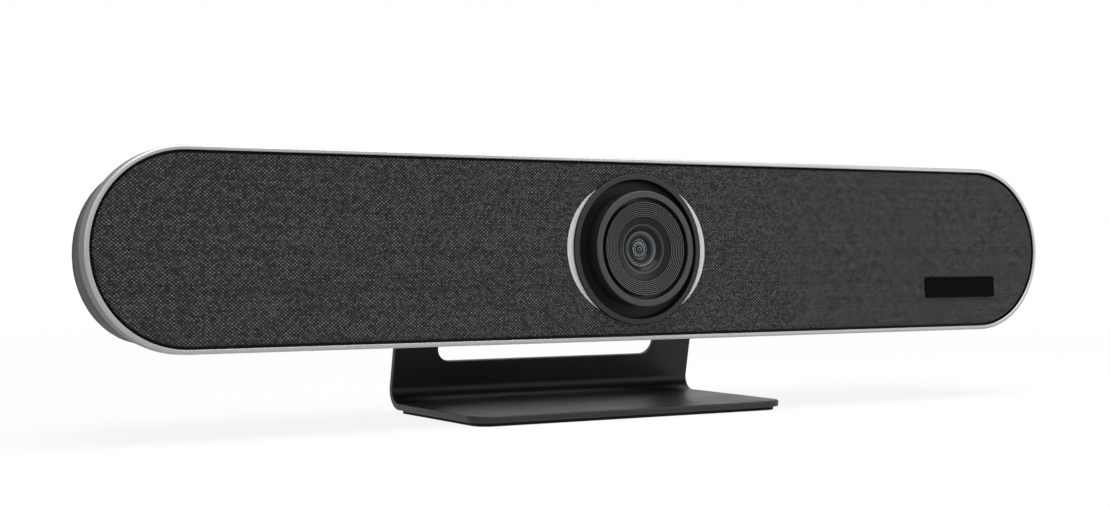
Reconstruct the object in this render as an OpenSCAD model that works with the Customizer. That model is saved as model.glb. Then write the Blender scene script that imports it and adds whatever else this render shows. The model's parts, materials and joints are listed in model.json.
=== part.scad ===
// Conference camera: a long bar with a wide lens, two speakers and microphones.
// It tilts on a bent plate stand.
// X runs along the bar, Y runs from the front to the back and Z is up.
// The origin is the centre of the base pad's underside, on the table.
// The bar's pieces are drawn in the bar's own frame, which starts at the centre of its rim.
// Y points inwards there.

/* [Bar] */
// Length of the bar from end to end
bar_length = 600; // [580:1:640]
// Height of the bar, which is also the diameter of its round ends
bar_height = 98; // [97:0.5:104]
// Depth of the bar from its rim to its flat back
bar_depth = 80; // [78:1:90]
// Height of the middle of the rim above the table
bar_centre_height = 91; // [88:1:110]
// Distance of the rim from the middle of the base, towards the front
bar_forward = 48.5; // [44:0.5:52]
// Angle at which the bar leans back
bar_lean = 2.5; // [0:0.5:6]
// Wall of the rear housing
housing_wall = 2.5; // [2:0.1:3]
// How far the rear housing stands in from the front frame
housing_step = 0.7; // [0.3:0.1:1.2]
// How much the sides of the rear housing draw in before the rounded back edge
housing_taper = 4; // [2:0.5:5]
// Radius of the rounded back edge
housing_round = 18; // [15:0.5:19]

/* [Front frame] */
// Width of the bright rim seen from the front
rim_width = 2; // [1.6:0.1:2.4]
// Bevel on the rim's outer edge
rim_bevel = 0.5; // [0.2:0.1:0.8]
// Depth of the frame's side band
frame_depth = 9.5; // [9:0.1:12]
// Width of the ledge that the grille panel rests on
ledge_width = 6; // [5:0.1:6.5]
// Thickness of that ledge
ledge_thickness = 2.5; // [1.8:0.1:2.6]

/* [Grille] */
// How far the fabric lies behind the rim
fabric_recess = 0.3; // [0.1:0.1:0.6]
// Thickness of the fabric
fabric_thickness = 0.9; // [0.6:0.1:1.2]
// How far the fabric is wrapped round the edge of its panel
fabric_wrap = 3.2; // [2:0.1:3.6]
// Dark gap between the fabric and the rim
grille_gap = 0.7; // [0.5:0.1:1]
// Thickness of the perforated panel behind the fabric
panel_thickness = 3.8; // [3:0.1:4.5]
// Side of each square sound hole in the panel
sound_hole = 6; // [4:0.5:6]
// Web between two sound holes
sound_web = 2; // [1.5:0.1:3]

/* [Nameplate] */
// Width of the bare plate
nameplate_width = 56; // [40:1:60]
// Height of the bare plate
nameplate_height = 12.3; // [10:0.1:14]
// Thickness of the bare plate
nameplate_thickness = 0.9; // [0.5:0.1:1.4]
// Distance of the plate's centre from the right end of the bar
nameplate_right = 66; // [64:1:80]
// Distance of the plate's centre below the lens
nameplate_drop = 23; // [20:0.5:25]

/* [Lens cup and lights] */
// Outer diameter of the cup round the lens
cup_diameter = 81; // [78:0.5:82]
// Width of the cup's flat front rim
cup_rim = 3; // [2:0.1:3.4]
// How far the cup stands out of the fabric
cup_proud = 1.5; // [0.8:0.1:2.5]
// Depth of the cup's bowl
cup_bowl_depth = 4.5; // [3:0.1:5]
// Thickness of the cup's floor
cup_floor = 2; // [1.5:0.1:2.5]
// Thickness of the cup's side behind the bowl
cup_wall = 2; // [1.5:0.1:2.5]
// Radius of the outer edge of each light crescent
light_radius = 36.1; // [35:0.1:37]
// Distance of that edge's centre from the lens axis
light_shift = 8.3; // [7.5:0.1:9]

/* [Lens hood] */
// Outer diameter of the hood
hood_diameter = 62; // [58:0.5:64]
// How far the hood stands out of the fabric
hood_proud = 8.2; // [6:0.1:10]
// Width of the hood's front ring
hood_ring = 4.2; // [3.5:0.1:5]
// Length of the collar at the hood's front
hood_collar = 3.5; // [2:0.1:5]
// Step down from the collar to the hood's body
hood_step = 0.7; // [0.4:0.1:1]
// Depth of the shelf that carries the trim ring
shelf_depth = 4; // [3.6:0.1:5]
// Outer diameter of the ribbed trim ring
trim_diameter = 50.5; // [49:0.1:52]
// Inner diameter of its ribbed zone
trim_ribbed_to = 33.6; // [30:0.1:36]
// Bore of the trim ring
trim_bore = 25.2; // [24:0.1:26]
// Number of ribs
trim_ribs = 8; // [5:1:10]
// Depth of the steps between the ribs
rib_depth = 0.4; // [0.2:0.05:0.6]

/* [Lens] */
// Diameter of the front glass that shows
glass_diameter = 11; // [9:0.1:12]
// Bore of the lens barrel, which holds the glasses
barrel_bore = 14.8; // [14:0.1:16]
// Diameter of the ring in the recess of the barrel
recess_diameter = 17.2; // [16:0.1:19]
// Depth of that ring behind the hood's front
recess_depth = 5.6; // [5:0.1:6.5]
// Depth of the plane where the barrel's front edge lies, behind the hood's front
barrel_set_back = 3.4; // [3:0.1:3.8]

/* [Speakers] */
// Outer diameter of the speaker's flange
speaker_diameter = 70; // [68:0.5:70]
// Travel of the cone each way
cone_travel = 1.5; // [0.5:0.1:1.8]
// Distance of the speaker's chamber from the main board
chamber_board_gap = 24; // [22:1:28]
// Distance of the chamber's outer end from the middle of the bar's round end
chamber_end_gap = 13; // [11:1:18]
// Depth of the speaker's chamber
chamber_depth = 53.5; // [50:0.5:56]
// Wall of the speaker's chamber
chamber_wall = 2.5; // [2:0.1:3]

/* [Boards] */
// Width of the main circuit board
main_board_width = 136; // [132:1:140]
// Height of the main circuit board
main_board_height = 68; // [64:1:70]
// Thickness of the circuit boards
board_thickness = 1.6; // [1:0.1:1.6]
// Distance of the first microphone from the inner housing screws
microphone_inner_gap = 20; // [16:1:24]
// Distance of the last microphone from the outer housing screws
microphone_outer_gap = 21; // [16:1:24]
// Travel of the power button
button_travel = 0.6; // [0.3:0.1:0.7]
// Diameter of the power button
button_diameter = 6.8; // [5:0.1:7]

/* [Rear recess] */
// Width of the recess for the sockets
recess_width = 120; // [118:1:122]
// Height of the recess
recess_height = 28; // [24:1:30]
// Depth of the recess
recess_floor_depth = 10; // [8:0.5:12]
// Distance of the recess's centre below the middle of the bar
recess_drop = 4; // [2:0.5:6]

/* [Stand] */
// Width of the stand
base_width = 200; // [190:1:220]
// Depth of the stand's foot
base_depth = 102; // [98:1:120]
// Thickness of the bent plate
plate_thickness = 3.5; // [3:0.1:4]
// Inner radius of the bend
bend_radius = 7.5; // [6:0.5:10]
// Radius of the foot's front corners
foot_corner = 12; // [6:0.5:16]
// Width of each arm
arm_width = 27; // [26:0.5:30]
// Height of the gap's lower edge above the table
gap_floor = 28; // [26:0.5:32]
// Radius of the gap's lower corners
gap_corner = 8; // [5:0.5:10]
// Bevel on the arms' top corners
arm_corner = 4; // [2:0.5:6]
// Thickness of the rubber pad under the foot
pad_thickness = 2; // [1.5:0.1:3]
// How far the pad stands in from the foot's edge
pad_inset = 3; // [1:0.5:6]

/* [Hinges] */
// Outer radius of the hinge barrels
hinge_barrel_radius = 4.2; // [4:0.1:4.4]
// Radius of the hinge shafts
hinge_shaft_radius = 2.5; // [2:0.1:2.8]
// Distance of the hinge axis behind the bar's back
hinge_stand_off = 5.1; // [5:0.1:6]
// Distance of the hinge axis below the middle of the bar
hinge_drop = 19.3; // [18:0.1:20]
// Thickness of the hinge plates
hinge_plate = 2.2; // [1.8:0.1:2.4]

/* [Clearances] */
// Gap between pieces that are fitted together
fit_gap = 0.1; // [0.05:0.05:0.15]
// Gap all round a turning shaft
running_gap = 0.05; // [0.02:0.01:0.08]
// Gap round pieces that pass through an opening
loose_gap = 0.3; // [0.2:0.05:0.4]

/* [Hidden] */
$fn = 96;

// One overrun serves every cut that passes through a face
over = 1;

// Bar: radii from the middle line of the round ends, and depths from the rim
outer_r = bar_height / 2;
half_run = bar_length / 2 - outer_r;
frame_inner_r = outer_r - rim_width;
ledge_r = frame_inner_r - ledge_width;
panel_y = fabric_recess + fabric_thickness;
seat_y = panel_y + panel_thickness;
fabric_r = frame_inner_r - grille_gap;
panel_r = fabric_r - fabric_thickness - fit_gap;
housing_front_r = outer_r - housing_step;
housing_rear_r = housing_front_r - housing_taper;
round_y = bar_depth - housing_round;
flat_r = housing_rear_r - housing_round;
inner_back_y = bar_depth - housing_wall;

// Screws, by shank and head radius, and the posts that they go into
screw_r = 1.4;
screw_head_r = 2.6;
screw_head_h = 1.5;
screw_play = 0.2;
post_r = 4;
pilot_r = screw_r + running_gap;
screw_hole_r = screw_r + screw_play;
post_wall = 2;

// Housing screws: places, depth of the frame's posts and of the counterbores
housing_post_z = ledge_r - post_wall;
housing_post_inner_x = main_board_width / 2 - post_wall;
housing_post_end_gap = 6;
housing_post_outer_x = half_run - housing_post_end_gap;
frame_post_y = 16;
counterbore_y = 40;
counterbore_r = screw_head_r + loose_gap;
housing_posts = [
  for (x = [housing_post_inner_x, housing_post_outer_x])
    for (side_x = [-1, 1])
      for (side_z = [-1, 1])
        [side_x * x, side_z * housing_post_z]
];

// Camera unit
cup_r = cup_diameter / 2;
cup_front_y = fabric_recess - cup_proud;
cup_floor_y = cup_front_y + cup_bowl_depth;
bracket_y = 12;
bracket_thickness = 1.5;
bracket_width = 112;
bracket_height = 72;
bracket_flange = 10;
bracket_post_inset = 6;
bracket_post_x = bracket_width / 2 - bracket_post_inset;
bracket_post_z = bracket_height / 2 - bracket_post_inset;
bracket_post_r = 3.5;
bracket_posts = [
  for (x = [-1, 1])
    for (z = [-1, 1])
      [x * bracket_post_x, z * bracket_post_z]
];
hood_r = hood_diameter / 2;
hood_body_r = hood_r - hood_step;
hood_inner_r = hood_r - hood_ring;
hood_front_y = fabric_recess - hood_proud;
hood_bevel = 0.6;
shelf_y = hood_front_y + shelf_depth;
shelf_thickness = 2;
shelf_r = 20;
trim_r = trim_diameter / 2;
trim_ribbed_r = trim_ribbed_to / 2;
trim_bore_r = trim_bore / 2;
trim_set_back = 0.5;
trim_rib_slope = 0.12;
trim_lip_depth = 2.8;
trim_front_y = hood_front_y + trim_set_back;
trim_pitch = (trim_r - trim_ribbed_r) / trim_ribs;
rib_land_share = 0.6;

// Lens barrel and what stands in it
glass_r = glass_diameter / 2;
bore_r = barrel_bore / 2;
barrel_r = trim_bore_r - fit_gap;
barrel_edge = 0.4;
recess_r = recess_diameter / 2;
recess_ring_y = hood_front_y + recess_depth;
lip_thickness = 1.9;
lens_seat_y = recess_ring_y + lip_thickness;
element_r = bore_r - fit_gap;
front_lens_rim = 2;
front_spacer = 4.4;
middle_lens_rim = 2.5;
rear_spacer = 4.5;
rear_lens_rim = 3;
end_ring = 2;
lens_sag = 1.2;
spacer_wall = 1.4;
aperture_wall = 4.4;
middle_lens_y = lens_seat_y + front_lens_rim + front_spacer;
rear_lens_y = middle_lens_y + middle_lens_rim + rear_spacer;
end_ring_y = rear_lens_y + rear_lens_rim;
barrel_tail = 3.4;
barrel_back_y = end_ring_y + end_ring + barrel_tail;
filter_thickness = 0.6;
filter_width = 14;
filter_height = 12;
mount_width = 30;
mount_front_y = bracket_y + bracket_thickness;
filter_seat_y = barrel_back_y + 2 * loose_gap + filter_thickness;
mount_web = 1.2;
mount_pocket = 2.6;
mount_back_y = filter_seat_y + mount_web + mount_pocket;
sensor_width = 12;
sensor_height = 10;
sensor_thickness = 1.4;
sensor_board_width = 44;
sensor_board_height = 36;
sensor_board_back_y = mount_back_y + board_thickness;
ribbon_width = 14;
ribbon_thickness = 0.4;
ribbon_bend = 3;
ribbon_top_z = 31;
ribbon_foot_z = 9;
connector_height = 5;
connector_depth = 2.2;
ribbon_y = sensor_board_back_y + connector_depth / 2;

// Lights beside the cup
led_size = 2;
led_height = 1;
led_angle = 22;
led_r = cup_r + led_size / 2 + loose_gap;
light_board_y = seat_y + led_height;
light_board_reach = 7.5;
light_board_r = cup_r + light_board_reach;
light_board_thickness = 1.2;
light_board_half_z = 28;
light_board_x = 30;

// Speakers, each in the middle of its chamber
chamber_inner_x = main_board_width / 2 + chamber_board_gap;
chamber_outer_x = half_run - chamber_end_gap;
speaker_x = (chamber_inner_x + chamber_outer_x) / 2;
gasket_thickness = 1.3;
flange_r = speaker_diameter / 2;
flange_y = seat_y + gasket_thickness;
flange_thickness = 2.2;
flange_inner_r = 28.1;
chamber_y = flange_y + flange_thickness;
chamber_room = 5;
chamber_half_z = ledge_r - chamber_room;
chamber_hole_r = 31;
chamber_back_y = chamber_y + chamber_depth;
chamber_post_inset = 20;
chamber_post_r = 5;
basket_neck_r = 21;
basket_depth = 20;
basket_back_y = flange_y + basket_depth;
basket_shell = 1.5;
basket_spokes = 4;
basket_window_half_angle = 30;
basket_hole_r = 11.6;
magnet_r = 22;
magnet_depth = 14;
magnet_y = basket_back_y + basket_shell;
magnet_back_y = magnet_y + magnet_depth;
coil_gap_inner_r = 9.2;
coil_gap_outer_r = 11.2;
roll_margin = 0.5;
roll_r = cone_travel + roll_margin;
roll_wall = 0.6;
roll_centre_r = flange_inner_r - fit_gap - roll_r;
roll_seat = 1.1;
roll_y = flange_y + roll_seat;
cone_edge_r = roll_centre_r - roll_r - loose_gap;
cone_wall = 0.8;
cone_depth = 11;
coil_r = 10.4;
coil_wall = 0.7;
coil_length = 15.5;
coil_top_y = roll_y + cone_depth;
coil_end_room = 2.9;
coil_gap_depth = coil_top_y + coil_length + cone_travel + coil_end_room - magnet_y;
dust_cap_rise = 4;
lead_r = 1.1;
lead_bend = 4.5;
lead_tail = 1;
lead_y = magnet_back_y + lead_tail + lead_bend;
lead_z = -8;
lead_plug_width = 6;
lead_plug_height = 6;

// Microphones, in a strip over each speaker
microphone_count = 4;
microphone_first_x = housing_post_inner_x + microphone_inner_gap;
microphone_last_x = housing_post_outer_x - microphone_outer_gap;
microphone_pitch = (microphone_last_x - microphone_first_x) / (microphone_count - 1);
microphone_size = 3.2;
microphone_height = 1;
microphone_hole_r = 0.8;
microphone_gasket = 0.6;
microphone_gasket_size = 4.4;
strip_height = 4.5;
strip_margin = 8;
strip_thickness = 1;
strip_z = chamber_half_z + strip_height / 2 + loose_gap;
strip_y = seat_y + microphone_gasket + microphone_height;

// Main board and what it carries
main_board_y = 52;
main_board_back_y = main_board_y + board_thickness;
board_post_inset = 6;
board_post_x = main_board_width / 2 - board_post_inset;
board_post_z = main_board_height / 2 - board_post_inset;
board_post_r = 3.5;
board_posts = [
  for (x = [-1, 1])
    for (z = [-1, 1])
      [x * board_post_x, z * board_post_z]
];
board_screw_grip = 8;
chip_size = 18;
chip_thickness = 1.4;
pad_sheet = 0.6;
sink_width = 56;
sink_height = 48;
sink_base = 2.8;
sink_fin_depth = 11;
sink_fin = 1.6;
sink_fins = 9;
chip_y = main_board_y - chip_thickness;
sink_back_y = chip_y - pad_sheet;

// Rear recess, its plate and the sockets, from the power socket to the button
recess_z = -recess_drop;
port_plate_thickness = 2;
port_plate_y = bar_depth - recess_floor_depth;
port_ledge_y = port_plate_y - port_plate_thickness;
port_ledge = 2;
port_ledge_thickness = 1.5;
power_x = 50;
network_x = 33;
display_x = 12;
wide_data_x = -8;
small_data_x = -24;
audio_x = -36;
button_x = -50;
power_width = 10;
power_height = 12;
power_bore_r = 3.2;
power_pin_r = 1;
power_bore_depth = 10;
network_width = 16;
network_height = 14;
network_wall = 2;
network_bay_height = 8;
network_latch_width = 5;
network_latch_height = 2.4;
network_depth = 12;
socket_wall = 0.6;
tongue = 1.2;
display_width = 15;
wide_data_width = 13.2;
data_height = 5.8;
small_data_width = 9;
small_data_height = 3.4;
data_depth = 9;
small_tongue = 0.7;
audio_width = 7;
audio_bore_r = 1.8;
audio_depth = 14;
button_r = button_diameter / 2;
button_flange_step = 1.2;
button_flange_r = button_r + button_flange_step;
button_flange = 1.4;
button_proud = 0.8;
button_stem_r = 2;
switch_size = 6;
switch_height = 3.5;
plunger_r = 1.7;
plunger_height = 0.4;
switch_top_y = main_board_back_y + switch_height + plunger_height;
vent_width = 3;
vent_height = 7;
vent_pitch = 8;
vent_count = 11;
vent_z = 19;

// Stand: the bar's place on it, and the hinge axis seen from the stand
bar_y = -bar_forward;
bar_z = bar_centre_height;
hinge_bar_y = bar_depth + hinge_stand_off;
hinge_y = bar_y + hinge_bar_y * cos(bar_lean) - hinge_drop * sin(bar_lean);
hinge_z = bar_z - hinge_bar_y * sin(bar_lean) - hinge_drop * cos(bar_lean);
plate_top_z = pad_thickness + plate_thickness;
bend_outer_r = bend_radius + plate_thickness;
bend_steps = 24;
bend_y = base_depth / 2 - bend_outer_r;
bend_z = pad_thickness + bend_outer_r;
foot_front_y = -base_depth / 2;
hinge_reach = norm([hinge_y - bend_y, hinge_z - bend_z]);
hinge_bearing = atan2(hinge_z - bend_z, hinge_y - bend_y);
arm_lean = hinge_bearing - acos((bend_radius - hinge_plate / 2) / hinge_reach);
arm_run = sqrt(pow(hinge_reach, 2) - pow(bend_radius - hinge_plate / 2, 2));
arm_top_gap = 2;
arm_length = arm_run - hinge_barrel_radius - arm_top_gap;
arm_x = base_width / 2 - arm_width / 2;
gap_half = base_width / 2 - arm_width;

// Hinges: the ears stand at both ends of the barrel
ear_thickness = 3;
hinge_margin = 1.5;
hinge_width = arm_width - 2 * hinge_margin;
barrel_length = hinge_width - 2 * ear_thickness - 2 * loose_gap;
barrel_leaf_length = 22;
barrel_middle_r = (hinge_barrel_radius + hinge_shaft_radius) / 2;
leaf_half = barrel_length / 2 - fit_gap;
leaf_gap = 2;
leaf_height = 20;
leaf_foot_z = -hinge_drop + hinge_barrel_radius + leaf_gap;
leaf_screw_inset = 5;
leaf_screw_length = 10;
arm_screw_inset = 5;
arm_screw_pitch = 9;

// Helpers

// Sets the bar on its stand
module on_bar() {
  translate([0, bar_y, bar_z])
    rotate([-bar_lean, 0, 0])
      children();
}

// Frame of the arms, which starts at the front of the arm at the end of the bend.
// Z runs up the arm and Y to its back.
module on_arm() {
  translate([0, bend_y + bend_radius * cos(arm_lean), bend_z + bend_radius * sin(arm_lean)])
    rotate([arm_lean, 0, 0])
      children();
}

// Draws its children on the other side of the lens
module on_left() {
  mirror([1, 0, 0])
    children();
}

// Lays a shape that is drawn upwards along Y
module facing_back(x, y, z) {
  translate([x, y, z])
    rotate([-90, 0, 0])
      children();
}

// Round rod along Y
module rod(r, y0, y1, x = 0, z = 0) {
  facing_back(x, y0, z)
    cylinder(r = r, h = y1 - y0);
}

// Block between two opposite corners
module block(low, high) {
  translate(low)
    cube(high - low);
}

// Block along Y, centred on a line
module bar_block(width, height, y0, y1, x = 0, z = 0) {
  block([x - width / 2, y0, z - height / 2], [x + width / 2, y1, z + height / 2]);
}

// Solid of revolution round a line along Y, from an outline in radius and Y
module turned(x = 0, z = 0) {
  facing_back(x, 0, z)
    rotate_extrude()
      children();
}

// Long shape with round ends, from an outline in radius and Y
module pill(half) {
  for (side = [-1, 1])
    translate([side * half, 0, 0])
      rotate([-90, 0, 0])
        rotate([0, 0, -90 * side])
          rotate_extrude(angle = 180)
            children();
  for (flip = [0, 1])
    mirror([0, 0, flip])
      rotate([0, -90, 0])
        linear_extrude(2 * half, center = true)
          children();
}

// Screw along Y whose head faces the given way, with the head's seat at y
module screw(x, y, z, length, facing = 1) {
  rod(screw_r, y - (facing > 0 ? length : 0), y + (facing > 0 ? 0 : length), x, z);
  rod(screw_head_r, y - (facing > 0 ? 0 : screw_head_h), y + (facing > 0 ? screw_head_h : 0), x, z);
}

// Outline of the rear housing's outside, or of its inside where inset is the wall
module housing_outline(inset, front) {
  polygon([
    [0, front],
    [housing_front_r - inset, front],
    [housing_front_r - inset, frame_depth],
    [housing_rear_r - inset, round_y],
    [0, round_y]
  ]);
  translate([0, round_y])
    square([flat_r, housing_round - inset]);
  translate([flat_r, round_y])
    circle(r = housing_round - inset);
}

// The hole in the grille for the cup and the light crescents
module camera_hole(y0, y1, gap) {
  rod(cup_r + gap, y0, y1);
  for (side = [-1, 1])
    rod(light_radius + gap, y0, y1, side * light_shift);
}

// Stand

module stand_bracket() {
  color("#232427")
    difference() {
      intersection() {
        rotate([90, 0, 90])
          linear_extrude(base_width + 2 * over, center = true)
            bracket_section();
        foot_plan();
      }
      arm_gap();
      on_arm()
        for (side = [-1, 1])
          for (i = [0, 1])
            rod(screw_hole_r, -over, plate_thickness + over, side * arm_x, arm_screw_z(i));
    }
}

// Height of a hinge screw up the arm
function arm_screw_z(i) = arm_length - arm_screw_inset - i * arm_screw_pitch;

// Side view of the bent plate: the foot, the bend in small steps and the arm
module bracket_section() {
  polygon(concat(
    [[foot_front_y - over, pad_thickness]],
    [for (i = [0:bend_steps]) bend_point(bend_outer_r, i)],
    [arm_top_point(plate_thickness), arm_top_point(0)],
    [for (i = [bend_steps:-1:0]) bend_point(bend_radius, i)],
    [[foot_front_y - over, plate_top_z]]
  ));
}

// Point on the bend, after a number of steps from the foot
function bend_point(r, i) =
  let (a = -90 + i * (90 + arm_lean) / bend_steps)
  [bend_y + r * cos(a), bend_z + r * sin(a)];

// Point on the arm's top edge, at a depth from the arm's front
function arm_top_point(depth) = [
  bend_y + (bend_radius + depth) * cos(arm_lean) - arm_length * sin(arm_lean),
  bend_z + (bend_radius + depth) * sin(arm_lean) + arm_length * cos(arm_lean)
];

// Top view of the foot with its two round front corners, as a tall block
module foot_plan() {
  corner_x = base_width / 2 - foot_corner;
  linear_extrude(hinge_z) {
    translate([-base_width / 2, foot_front_y + foot_corner])
      square([base_width, base_depth]);
    translate([-corner_x, foot_front_y])
      square([2 * corner_x, foot_corner + over]);
    for (side = [-1, 1])
      translate([side * corner_x, foot_front_y + foot_corner])
        circle(r = foot_corner);
  }
}

// Cut between the two arms, with round lower corners, and bevels at the arms' tops
module arm_gap() {
  rotate([90, 0, 0])
    linear_extrude(2 * base_depth, center = true) {
      translate([-gap_half + gap_corner, gap_floor])
        square([2 * (gap_half - gap_corner), gap_corner + over]);
      translate([-gap_half, gap_floor + gap_corner])
        square([2 * gap_half, hinge_z]);
      for (side = [-1, 1])
        translate([side * (gap_half - gap_corner), gap_floor + gap_corner])
          circle(r = gap_corner);
    }
  on_arm()
    for (side = [-1, 1])
      for (edge = [-1, 1])
        arm_corner_cut(side * arm_x + edge * arm_width / 2, -edge);
}

// What is cut off one top corner of an arm, inward is the way to the arm's middle
module arm_corner_cut(x, inward) {
  rotate([90, 0, 0])
    linear_extrude(4 * plate_thickness, center = true)
      polygon([
        [x - inward * over, arm_length - arm_corner - over],
        [x + inward * (arm_corner + over), arm_length + over],
        [x - inward * over, arm_length + over]
      ]);
}

module base_pad() {
  corner = foot_corner - pad_inset;
  half_x = base_width / 2 - pad_inset;
  front = foot_front_y + pad_inset;
  color("#141416")
    linear_extrude(pad_thickness) {
      translate([-half_x, front + corner])
        square([2 * half_x, bend_y - front - corner]);
      translate([corner - half_x, front])
        square([2 * (half_x - corner), corner + over]);
      for (side = [-1, 1])
        translate([side * (half_x - corner), front + corner])
          circle(r = corner);
    }
}

// Fixed half of a hinge: a barrel on a leaf that is screwed to the front of the arm
module hinge_barrel() {
  color("#3a3b3e")
    difference() {
      union() {
        translate([arm_x, hinge_y, hinge_z])
          rotate([0, 90, 0])
            cylinder(r = hinge_barrel_radius, h = barrel_length, center = true);
        on_arm()
          block(
            [arm_x - leaf_half, -hinge_plate, arm_length - barrel_leaf_length],
            [arm_x + leaf_half, 0, arm_run - barrel_middle_r]
          );
      }
      translate([arm_x, hinge_y, hinge_z])
        rotate([0, 90, 0])
          cylinder(r = hinge_shaft_radius + running_gap, h = barrel_length + 2 * over, center = true);
      on_arm()
        for (i = [0, 1])
          rod(pilot_r, -hinge_plate - over, over, arm_x, arm_screw_z(i));
    }
}

module hinge_barrel_left() {
  on_left()
    hinge_barrel();
}

module hinge_barrel_right() {
  hinge_barrel();
}

module arm_screws() {
  color("#55575a")
    on_arm()
      for (side = [-1, 1])
        for (i = [0, 1])
          screw(side * arm_x, plate_thickness, arm_screw_z(i), plate_thickness + hinge_plate);
}

// Moving half of a hinge: a plate on the bar's back, two ears and the shaft between them
module hinge_leaf() {
  color("#4a4b4e")
    on_bar() {
      difference() {
        block(
          [arm_x - hinge_width / 2, bar_depth, leaf_foot_z],
          [arm_x + hinge_width / 2, bar_depth + hinge_plate, leaf_foot_z + leaf_height]
        );
        for (z = leaf_screw_heights())
          rod(screw_hole_r, bar_depth - over, bar_depth + hinge_plate + over, arm_x, z);
      }
      for (side = [-1, 1])
        translate([arm_x + side * (hinge_width - ear_thickness) / 2, 0, 0])
          rotate([90, 0, 90])
            linear_extrude(ear_thickness, center = true)
              ear_outline();
      translate([arm_x, hinge_bar_y, -hinge_drop])
        rotate([0, 90, 0])
          cylinder(r = hinge_shaft_radius, h = hinge_width - ear_thickness, center = true);
    }
}

// Heights of the two screws of a hinge leaf
function leaf_screw_heights() = [
  leaf_foot_z + leaf_screw_inset,
  leaf_foot_z + leaf_height - leaf_screw_inset
];

// Side view of an ear, in the bar's Y and Z
module ear_outline() {
  ear_r = hinge_stand_off - running_gap - leaf_gap / 2;
  translate([hinge_bar_y, -hinge_drop])
    circle(r = ear_r);
  translate([bar_depth, -hinge_drop])
    square([hinge_stand_off + ear_r, leaf_foot_z + hinge_drop + leaf_gap]);
  translate([bar_depth, leaf_foot_z])
    square([hinge_plate, leaf_height]);
}

module hinge_leaf_left() {
  on_left()
    hinge_leaf();
}

module hinge_leaf_right() {
  hinge_leaf();
}

module leaf_screws() {
  color("#55575a")
    on_bar()
      for (side = [-1, 1])
        for (z = leaf_screw_heights())
          screw(side * arm_x, bar_depth + hinge_plate, z, leaf_screw_length);
}

// Housing

module rear_housing() {
  color("#46484b")
    on_bar()
      difference() {
        union() {
          difference() {
            pill(half_run)
              housing_outline(0, frame_depth);
            pill(half_run)
              housing_outline(housing_wall, frame_depth - over);
          }
          intersection() {
            pill(half_run)
              housing_outline(0, frame_depth);
            housing_inner_posts();
          }
        }
        housing_cuts();
      }
}

// Everything that stands inside the rear housing: screw posts, the recess's tub and the chambers' stops
module housing_inner_posts() {
  for (p = housing_posts)
    rod(post_r, frame_post_y, bar_depth, p.x, p.y);
  for (p = board_posts)
    rod(board_post_r, main_board_back_y, bar_depth, p.x, p.y);
  for (side = [-1, 1]) {
    for (x = [chamber_inner_x + chamber_post_inset, chamber_outer_x - chamber_post_inset])
      rod(chamber_post_r, chamber_back_y, bar_depth, side * x, 0);
    for (z = leaf_screw_heights())
      rod(post_r, bar_depth - leaf_screw_length, bar_depth, side * arm_x, z);
  }
  bar_block(
    recess_width + 2 * post_wall, recess_height + 2 * post_wall,
    port_ledge_y - port_ledge_thickness, bar_depth, 0, recess_z
  );
}

// Holes of the rear housing: counterbores, screw holes, the recess and the vents
module housing_cuts() {
  for (p = housing_posts) {
    rod(screw_hole_r, frame_post_y - over, bar_depth, p.x, p.y);
    rod(counterbore_r, counterbore_y, bar_depth + over, p.x, p.y);
  }
  for (p = board_posts)
    rod(pilot_r, main_board_back_y - over, main_board_back_y + board_screw_grip, p.x, p.y);
  for (side = [-1, 1])
    for (z = leaf_screw_heights())
      rod(pilot_r, bar_depth - leaf_screw_length + over, bar_depth + over, side * arm_x, z);
  bar_block(recess_width, recess_height, port_ledge_y, bar_depth + over, 0, recess_z);
  bar_block(
    recess_width - 2 * port_ledge, recess_height - 2 * port_ledge,
    port_ledge_y - port_ledge_thickness - over, bar_depth, 0, recess_z
  );
  for (i = [0:vent_count - 1])
    bar_block(
      vent_width, vent_height, inner_back_y - over, bar_depth + over,
      (i - (vent_count - 1) / 2) * vent_pitch, vent_z
    );
}

module front_frame() {
  color("#b9bcbf")
    on_bar()
      difference() {
        union() {
          pill(half_run)
            polygon([
              [frame_inner_r, 0],
              [outer_r - rim_bevel, 0],
              [outer_r, rim_bevel],
              [outer_r, frame_depth],
              [frame_inner_r, frame_depth],
              [frame_inner_r, seat_y + ledge_thickness],
              [ledge_r, seat_y + ledge_thickness],
              [ledge_r, seat_y],
              [frame_inner_r, seat_y]
            ]);
          for (p = housing_posts)
            rod(post_r, seat_y, frame_post_y, p.x, p.y);
        }
        for (p = housing_posts)
          rod(pilot_r, seat_y + over, frame_post_y + over, p.x, p.y);
      }
}

module housing_screws() {
  color("#2d2e30")
    on_bar()
      for (p = housing_posts)
        screw(p.x, counterbore_y, p.y, counterbore_y - seat_y - 2 * over);
}

// Grille

module grille_panel() {
  color("#1b1c1e")
    on_bar()
      difference() {
        union() {
          pill(half_run)
            translate([0, panel_y])
              square([panel_r, panel_thickness]);
          for (p = bracket_posts)
            rod(bracket_post_r, seat_y, bracket_y, p.x, p.y);
        }
        camera_hole(panel_y - over, seat_y + over, 2 * fit_gap);
        for (side = [-1, 1])
          translate([side * speaker_x, 0, 0])
            sound_holes();
        for (p = bracket_posts)
          rod(pilot_r, seat_y + over, bracket_y + over, p.x, p.y);
        for (p = microphone_places())
          rod(microphone_hole_r, panel_y - over, seat_y + over, p.x, p.y);
      }
}

// Field of square sound holes in front of one speaker
module sound_holes() {
  step = sound_hole + sound_web;
  field_r = flange_inner_r - sound_web;
  reach = floor(field_r / step);
  for (i = [-reach:reach])
    for (j = [-reach:reach])
      if (norm([abs(i) * step + sound_hole / 2, abs(j) * step + sound_hole / 2]) < field_r)
        bar_block(sound_hole, sound_hole, panel_y - over, seat_y + over, i * step, j * step);
}

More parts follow.
